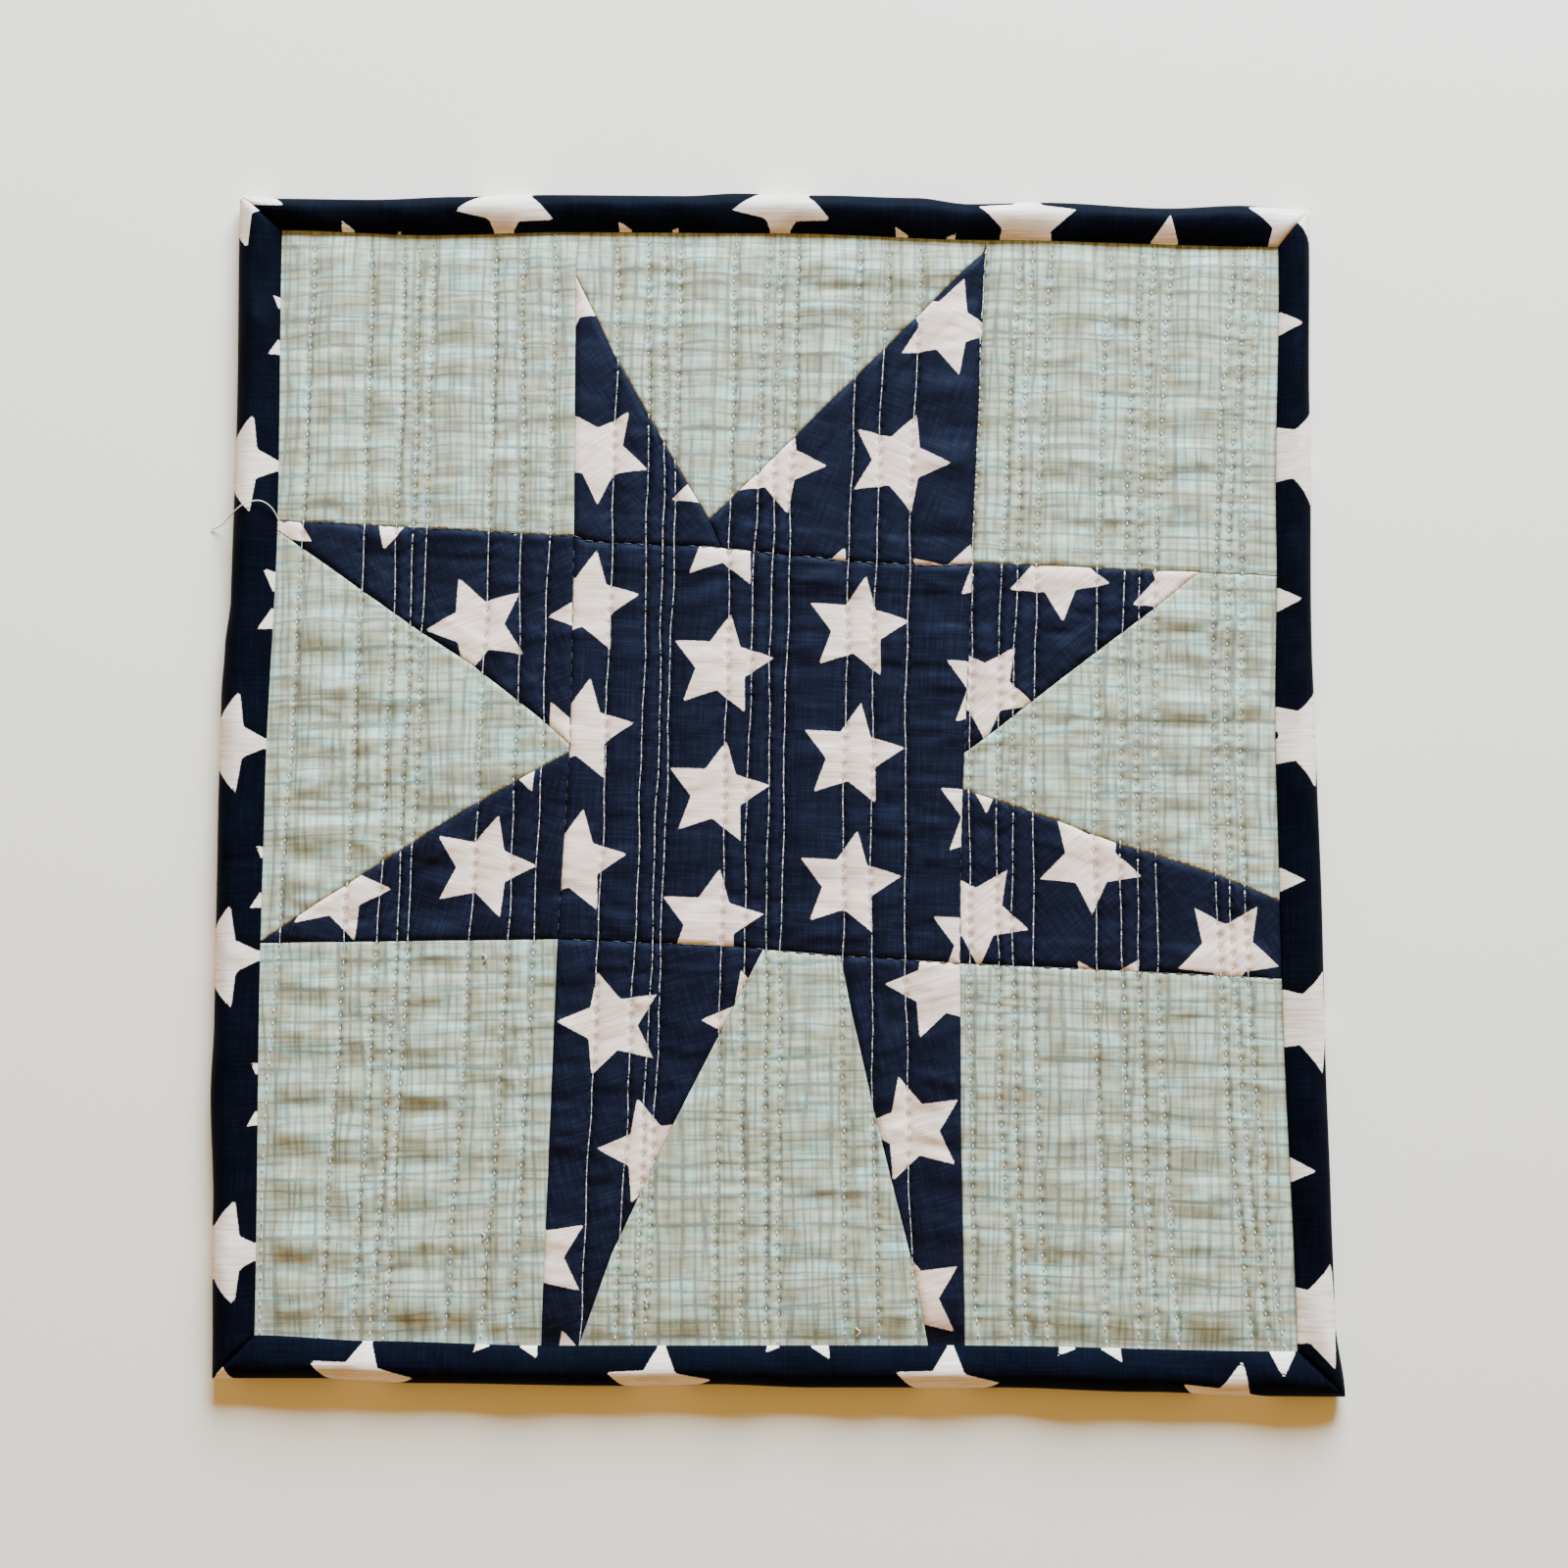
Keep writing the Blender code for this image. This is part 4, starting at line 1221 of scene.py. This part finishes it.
@dataclass
class Backing:
    """The plain cloth on the back, with the stitch lines pressed into it."""

    relief: Relief
    finish: bpy.types.Material
    grid: float = 1.7
    reach_share: float = 0.30
    side_clear: float = 0.8  # what it keeps clear of the binding's bow at its sides and at its ends
    end_clear: float = 1.6
    top: float = 0.95
    trough: float = 0.45
    flat_level: float = 4.6  # where the face is this high, the back lies flat
    follow: float = 0.35  # share of the face's dips that the back follows
    least_lift: float = 0.03
    rim_level: float = 0.62
    rim_breadth: float = 1.5

    def build(self) -> bpy.types.Object:
        """Builds the backing as one closed sheet and dresses it."""
        x0, x1 = float(edge("left", 0.0, self.reach_share)), float(edge("right", 0.0, self.reach_share))
        y0, y1 = float(edge("bottom", 0.0, self.reach_share)), float(edge("top", 0.0, self.reach_share))
        columns = np.linspace(x0 + self.side_clear, x1 - self.side_clear, round((x1 - x0) / self.grid))
        rows = np.linspace(y0 + self.end_clear, y1 - self.end_clear, round((y1 - y0) / self.grid))
        x, y = (a.ravel() for a in np.meshgrid(columns, rows))
        face = self.relief.height(x, y)
        lift = np.clip((self.flat_level - face) * self.follow, self.least_lift, self.trough)
        inside = ease(self.relief.inside(x, y) / self.rim_breadth)
        low = np.column_stack([x, y, self.rim_level + (lift - self.rim_level) * inside])
        high = np.column_stack([x, y, np.full(len(x), self.top)])
        wide, count = len(columns), len(x)
        faces = []
        for row in range(len(rows) - 1):
            for column in range(wide - 1):
                a = row * wide + column
                faces.append((a, a + wide, a + wide + 1, a + 1))
                faces.append((count + a, count + a + 1, count + a + wide + 1, count + a + wide))
        rim = list(range(wide)) + [r * wide + wide - 1 for r in range(1, len(rows))]
        rim += [count - 1 - i for i in range(1, wide)] + [r * wide for r in range(len(rows) - 2, 0, -1)]
        faces += [(a, b, count + b, count + a) for a, b in zip(rim, rim[1:] + rim[:1])]
        points = np.concatenate([low, high])
        cloth = np.column_stack([points[:, :2], np.zeros(len(points))])
        piece = make_piece("backing", points, faces, self.finish, {"cloth_mm": cloth})
        dress(piece, "quilt_panel")
        return piece


@dataclass
class StitchRun:
    """Stitches along sewn lines, repeated by Geometry Nodes."""

    name: str
    slot: Slot
    finish: bpy.types.Material
    length: float = 2.5
    radius: float = 0.165
    waist: float = 0.46  # the thread is drawn thinner between its holes, as a share of the radius
    arch: float = 0.02
    dip: float = -0.02
    sides: int = 5
    steps: int = 4
    seed: int = 4
    knot_power: float = 5.0  # the higher, the shorter the thick part at each hole
    thinnest: float = 0.8  # stitches differ in thickness between these shares
    thickest: float = 1.2

    def tree(self) -> bpy.types.NodeTree:
        """Builds the tree that puts one stitch at each needle hole, towards the next one."""
        tree = bpy.data.node_groups.new(f"{self.name}_stitches", "GeometryNodeTree")
        face = tree.interface
        face.new_socket("Holes", in_out="INPUT", socket_type="NodeSocketGeometry")
        for label in ("Length", "Radius", "Waist", "Arch", "Dip"):
            face.new_socket(label, in_out="INPUT", socket_type="NodeSocketFloat")
        for label in ("Sides", "Steps", "Seed"):
            face.new_socket(label, in_out="INPUT", socket_type="NodeSocketInt")
        face.new_socket("Thread", in_out="INPUT", socket_type="NodeSocketMaterial")
        face.new_socket("Stitches", in_out="OUTPUT", socket_type="NodeSocketGeometry")
        given = tree.nodes.new("NodeGroupInput").outputs
        low = add_node(tree, MATH, (given["Dip"], -1.0), operation="MULTIPLY")
        high = add_node(tree, MATH, (given["Arch"], 2.0), operation="MULTIPLY")
        half = add_node(tree, MATH, (given["Length"], 0.5), operation="MULTIPLY")
        start = add_node(tree, "ShaderNodeCombineXYZ", {"Z": low})
        middle = add_node(tree, "ShaderNodeCombineXYZ", {"X": half, "Z": high})
        end = add_node(tree, "ShaderNodeCombineXYZ", {"X": given["Length"], "Z": low})
        arc = add_node(tree, "GeometryNodeCurveQuadraticBezier",
                       {"Resolution": given["Steps"], "Start": start, "Middle": middle, "End": end})
        along = add_node(tree, "GeometryNodeSplineParameter", output="Factor")
        sided = add_node(tree, MATH, (along, 2.0, -1.0), operation="MULTIPLY_ADD")
        from_middle = add_node(tree, MATH, (sided,), operation="ABSOLUTE")
        wider = add_node(tree, MATH, (from_middle, self.knot_power), operation="POWER")
        thick = add_node(tree, RANGE, (wider, 0.0, 1.0, given["Waist"], 1.0))
        ring = add_node(tree, "GeometryNodeCurvePrimitiveCircle",
                        {"Resolution": given["Sides"], "Radius": given["Radius"]})
        stitch = add_node(tree, "GeometryNodeCurveToMesh", {
            "Curve": arc, "Profile Curve": ring, "Scale": thick, "Fill Caps": True})
        smooth = add_node(tree, "GeometryNodeSetShadeSmooth", {"Geometry": stitch})
        way = add_node(tree, "GeometryNodeInputNamedAttribute", {"Name": "way"}, output="Attribute",
                       data_type="FLOAT_VECTOR")
        turn = add_node(tree, "FunctionNodeAlignRotationToVector", {"Vector": way}, axis="X")
        # Its second pair of limits and its second output are the ones for plain numbers
        size = add_node(tree, "FunctionNodeRandomValue", {
            2: self.thinnest, 3: self.thickest, "Seed": given["Seed"]}, output=1, data_type="FLOAT")
        scale = add_node(tree, "ShaderNodeCombineXYZ", (1.0, size, size))
        placed = add_node(tree, "GeometryNodeInstanceOnPoints", {
            "Points": given["Holes"], "Instance": smooth, "Rotation": turn, "Scale": scale})
        real = add_node(tree, "GeometryNodeRealizeInstances", (placed,))
        dressed = add_node(tree, "GeometryNodeSetMaterial", {"Geometry": real, "Material": given["Thread"]})
        add_node(tree, "NodeGroupOutput", (dressed,))
        return tree

    def sew(self, holes: np.ndarray, ways: np.ndarray) -> bpy.types.Object:
        """Sews the stitches and dresses them.

        Args:
            holes: where each stitch starts, N by 3, in millimetres.
            ways: the direction of each, N by 3.

        Returns:
            The piece.
        """
        guide = bpy.data.meshes.new(f"{self.name}_guide")
        guide.from_pydata((holes * MM).tolist(), [], [])
        kept = guide.attributes.new("way", "FLOAT_VECTOR", "POINT")
        kept.data.foreach_set("vector", ways.astype(np.float32).ravel())
        carrier = into_scene(f"{self.name}_guide", guide)
        sewing = carrier.modifiers.new("stitches", "NODES")
        sewing.node_group = self.tree()
        values = {"Length": self.length * MM, "Radius": self.radius * MM, "Waist": self.waist,
                  "Arch": self.arch * MM, "Dip": self.dip * MM, "Sides": self.sides, "Steps": self.steps,
                  "Seed": self.seed, "Thread": self.finish}
        for item in sewing.node_group.interface.items_tree:
            if item.in_out == "INPUT" and item.name in values:
                sewing[item.identifier] = values[item.name]
        piece = as_mesh(carrier, self.name)
        dress(piece)
        return piece


@dataclass
class Sewing:
    """All the thread that shows: quilting on both faces, piecing along the seams, loose ends."""

    relief: Relief
    top: PiecedTop
    quilting: bpy.types.Material
    piecing: bpy.types.Material
    lift: float = 0.07  # of the quilting stitches' ends above the cloth
    stray: float = 0.06  # how far the needle holes wander off their line
    stray_turn: float = 2.39996  # the golden angle, so that the wandering never repeats
    stray_power: float = 1.5
    overrun: float = 0.4  # how far a line is sewn past the binding's seam
    # The cloth's height is felt at this many places, up to this share of a stitch from the hole
    felt_places: int = 5
    felt_share: float = 0.36
    piecing_lift: float = 0.08
    piecing_ends: Point = (3.0, 1.0)  # what piecing stitches keep clear of a run's start and end
    back_level: float = 0.30
    tail_radius: float = 0.13
    end_radius: float = 0.16

    def ways(self, line: np.ndarray) -> np.ndarray:
        """Gives the direction from each point of a line to the next one."""
        steps = np.diff(line, axis=0)
        return np.concatenate([steps, steps[-1:]])

    def quilting_line(self, number: int) -> tuple[np.ndarray, np.ndarray]:
        """Gives a quilting line's needle holes on the front, and which of them are in the star print."""
        middle_x = np.array([LINES[number][1]])
        low = float(read(SEWN["bottom"], middle_x)[0]) - self.overrun
        high = float(read(SEWN["top"], middle_x)[0]) + self.overrun
        shift = float(self.relief.hole_shift(number))
        first = math.ceil((low - shift) / STITCH_PITCH)
        last = math.floor((high - shift) / STITCH_PITCH)
        y = shift + STITCH_PITCH * np.arange(last, first - 1, -1)
        felt = np.linspace(-self.felt_share, self.felt_share, self.felt_places)
        near = y[:, None] + felt * STITCH_PITCH
        spots = np.column_stack([self.relief.line_x(number, near).ravel(), near.ravel()])
        height, printed = (a.reshape(near.shape) for a in self.top.under_needle(spots))
        turn = self.stray_turn * np.arange(len(y)) ** self.stray_power
        stray = self.stray * np.sin(turn + number)
        holes = np.column_stack([self.relief.line_x(number, y) + stray, y, height.max(axis=1) + self.lift])
        return holes, printed[:, near.shape[1] // 2]

    def piecing_lines(self) -> list[np.ndarray]:
        """Gives the stitches that show along the two long row seams and the two column seams."""
        found = []
        for run in PIECED_RUNS:
            sides = [self.top.side(*pair)[0] for pair in run]
            line = np.concatenate([side[:-1] for side in sides] + [sides[-1][-1:]])
            long = np.concatenate([[0.0], np.cumsum(np.hypot(*np.diff(line, axis=0).T))])
            places = np.arange(self.piecing_ends[0], long[-1] - self.piecing_ends[1], STITCH_PITCH)
            x, y = np.interp(places, long, line[:, 0]), np.interp(places, long, line[:, 1])
            z = self.relief.height(x, y) - self.top.ditch_depth + self.piecing_lift
            found.append(np.column_stack([x, y, z]))
        return found

    def loose_end(self, name: str, way: Sequence[Spot], radius: float) -> bpy.types.Object:
        """Builds a free end of thread.

        Args:
            name: the piece's name.
            way: points that it passes.
            radius: half its thickness.

        Returns:
            The piece.
        """
        curve = bpy.data.curves.new(name, "CURVE")
        curve.dimensions = "3D"
        curve.bevel_depth = radius * MM
        curve.bevel_resolution = 2
        curve.use_fill_caps = True
        spline = curve.splines.new("NURBS")
        spline.points.add(len(way) - 1)
        for point, place in zip(spline.points, way):
            point.co = (*(v * MM for v in place), 1.0)
        spline.use_endpoint_u = True
        spline.order_u = 3
        spline.resolution_u = 6
        piece = as_mesh(into_scene(name, curve), name)
        piece.data.shade_smooth()
        piece.data.materials.clear()
        piece.data.materials.append(self.quilting)
        dress(piece)
        return piece

    def build(self) -> list[bpy.types.Object]:
        """Sews everything and returns the pieces."""
        on_stars = StitchRun("quilting_on_star_print", Slot.QUILTING, self.quilting, length=2.55, steps=7)
        on_pale = StitchRun("quilting_on_crosshatch", Slot.QUILTING, self.quilting, radius=0.19, arch=-0.2,
                            seed=5)
        back = StitchRun("quilting_back", Slot.QUILTING, self.quilting, radius=0.10, waist=1.0, arch=-0.02,
                         dip=-0.03, sides=4, steps=2, seed=9)
        seams = StitchRun("piecing_stitches", Slot.PIECING, self.piecing, length=1.4, radius=0.09,
                          waist=1.0, arch=0.08, dip=0.05, seed=6)
        fronts = [self.quilting_line(number) for number in range(len(LINES))]
        holes = np.concatenate([line for line, _ in fronts])
        ways = np.concatenate([self.ways(line) for line, _ in fronts])
        printed = np.concatenate([mask for _, mask in fronts])
        under = np.column_stack([holes[:, :2], np.full(len(holes), self.back_level)])
        seam_lines = self.piecing_lines()
        pieces = [on_stars.sew(holes[printed], ways[printed]), on_pale.sew(holes[~printed], ways[~printed]),
                  back.sew(under, ways * np.array((1.0, 1.0, 0.0))),
                  seams.sew(np.concatenate(seam_lines), np.concatenate([self.ways(s) for s in seam_lines]))]
        pieces.append(self.loose_end("thread_tail", THREAD_TAIL, self.tail_radius))
        for number, (x, y) in enumerate(THREAD_ENDS):
            z = float(self.relief.height(np.array([x]), np.array([y]))[0])
            way = [(x + right, y + ahead, z + up) for right, ahead, up in THREAD_END_WAY]
            pieces.append(self.loose_end(f"thread_end_{number + 1}", way, self.end_radius))
        return pieces


@dataclass
class Studio:
    """A plain pale floor, soft light and the camera."""

    distance: float = 450.0
    pitch_sine: float = 0.1175
    aim: Spot = (2.0, -1.5, 3.5)
    lens: float = 53.66
    sensor: float = 36.0
    key_elevation: float = 24.0
    key_azimuth: float = 12.0  # degrees from +Y towards +X
    key_distance: float = 1400.0
    key_watts: float = 106.0
    key_size: Point = (800.0, 600.0)
    key_colour: str = "#d7efff"
    fill_strength: float = 0.6
    fill_colour: str = "#ffc96b"
    floor_half: float = 2000.0
    floor_level: float = -0.05
    floor_colour: str = "#f8f0e4"
    floor_roughness: float = 0.8
    clip: Point = (10.0, 10000.0)  # the camera sees from this near to this far

    def floor(self) -> None:
        """Lays the floor."""
        ways = ((-1.0, -1.0), (1.0, -1.0), (1.0, 1.0), (-1.0, 1.0))
        half, level = self.floor_half * MM, self.floor_level * MM
        mesh = bpy.data.meshes.new("floor")
        mesh.from_pydata([(x * half, y * half, level) for x, y in ways], [], [(0, 1, 2, 3)])
        material, _ = new_material("matte_pale_board", {
            "Base Color": linear(self.floor_colour), "Roughness": self.floor_roughness})
        mesh.materials.append(material)
        into_scene("floor", mesh)

    def lights(self) -> None:
        """Sets a cool key light from the far side and a warm fill all round."""
        world = bpy.data.worlds.new("studio")
        world.use_nodes = True
        background = world.node_tree.nodes["Background"]
        background.inputs["Color"].default_value = linear(self.fill_colour)
        background.inputs["Strength"].default_value = self.fill_strength
        bpy.context.scene.world = world
        lamp = bpy.data.lights.new("key", "AREA")
        lamp.shape = "RECTANGLE"
        lamp.size, lamp.size_y = (side * MM for side in self.key_size)
        lamp.energy = self.key_watts
        lamp.color = linear(self.key_colour)[:3]
        light = into_scene("key", lamp)
        up, turn = math.radians(self.key_elevation), math.radians(self.key_azimuth)
        way = Vector((math.sin(turn) * math.cos(up), math.cos(turn) * math.cos(up), math.sin(up)))
        light.location = way * self.key_distance * MM
        light.rotation_euler = way.to_track_quat("Z", "Y").to_euler()

    def camera(self) -> None:
        """Places the camera almost straight above, leaning a little from the near side."""
        data = bpy.data.cameras.new("camera")
        data.lens, data.sensor_width = self.lens, self.sensor
        data.clip_start, data.clip_end = (reach * MM for reach in self.clip)
        camera = into_scene("camera", data)
        lean = math.asin(self.pitch_sine)
        back = Vector((0.0, -math.sin(lean), math.cos(lean))) * self.distance
        camera.location = (Vector(self.aim) + back) * MM
        camera.rotation_euler = (lean, 0.0, 0.0)
        bpy.context.scene.camera = camera


def main() -> None:
    """Builds the quilt's pieces in order and reports each one."""
    logging.basicConfig(level=logging.INFO, format="%(name)s: %(message)s")
    finishes = {
        Slot.CROSSHATCH: CrosshatchCotton("mint_crosshatch_cotton").material(),
        Slot.STARS: StarPrintCotton("navy_star_cotton").material(),
        # The binding's navy is a darker copy of the patches' navy: painted shade for the dimmer light at the
        # quilt's edges
        Slot.BINDING: StarPrintCotton("navy_star_binding_cotton", specular=0.025, gloss_tint="#7fb0ff",
                                      navy="#07080f", navy_worn="#0b0e1b", white="#fbefe8").material(),
        Slot.BACKING: PlainCotton("plain_backing_cotton").material(),
        Slot.QUILTING: SewingThread("off_white_quilting_thread", "#ddd8da", "#aca6aa").material(),
        Slot.PIECING: SewingThread("dark_piecing_thread", "#0c0f1a", "#1d2233").material(),
    }
    studio = Studio()
    studio.camera()
    studio.lights()
    studio.floor()
    relief = Relief()
    made = [Backing(relief, finishes[Slot.BACKING]).build()]
    top = PiecedTop(relief, finishes)
    made += [top.build(patch) for patch in PATCHES]
    binding = Binding(finishes[Slot.BINDING])
    made += [binding.build(side) for side in OUTER]
    made += Sewing(relief, top, finishes[Slot.QUILTING], finishes[Slot.PIECING]).build()
    for piece in made:
        LOG.info("%s: %d faces", piece.name, len(piece.data.polygons))
    LOG.info("all: %d triangles", sum(len(f.vertices) - 2 for p in made for f in p.data.polygons))


if __name__ == "__main__":
    main()
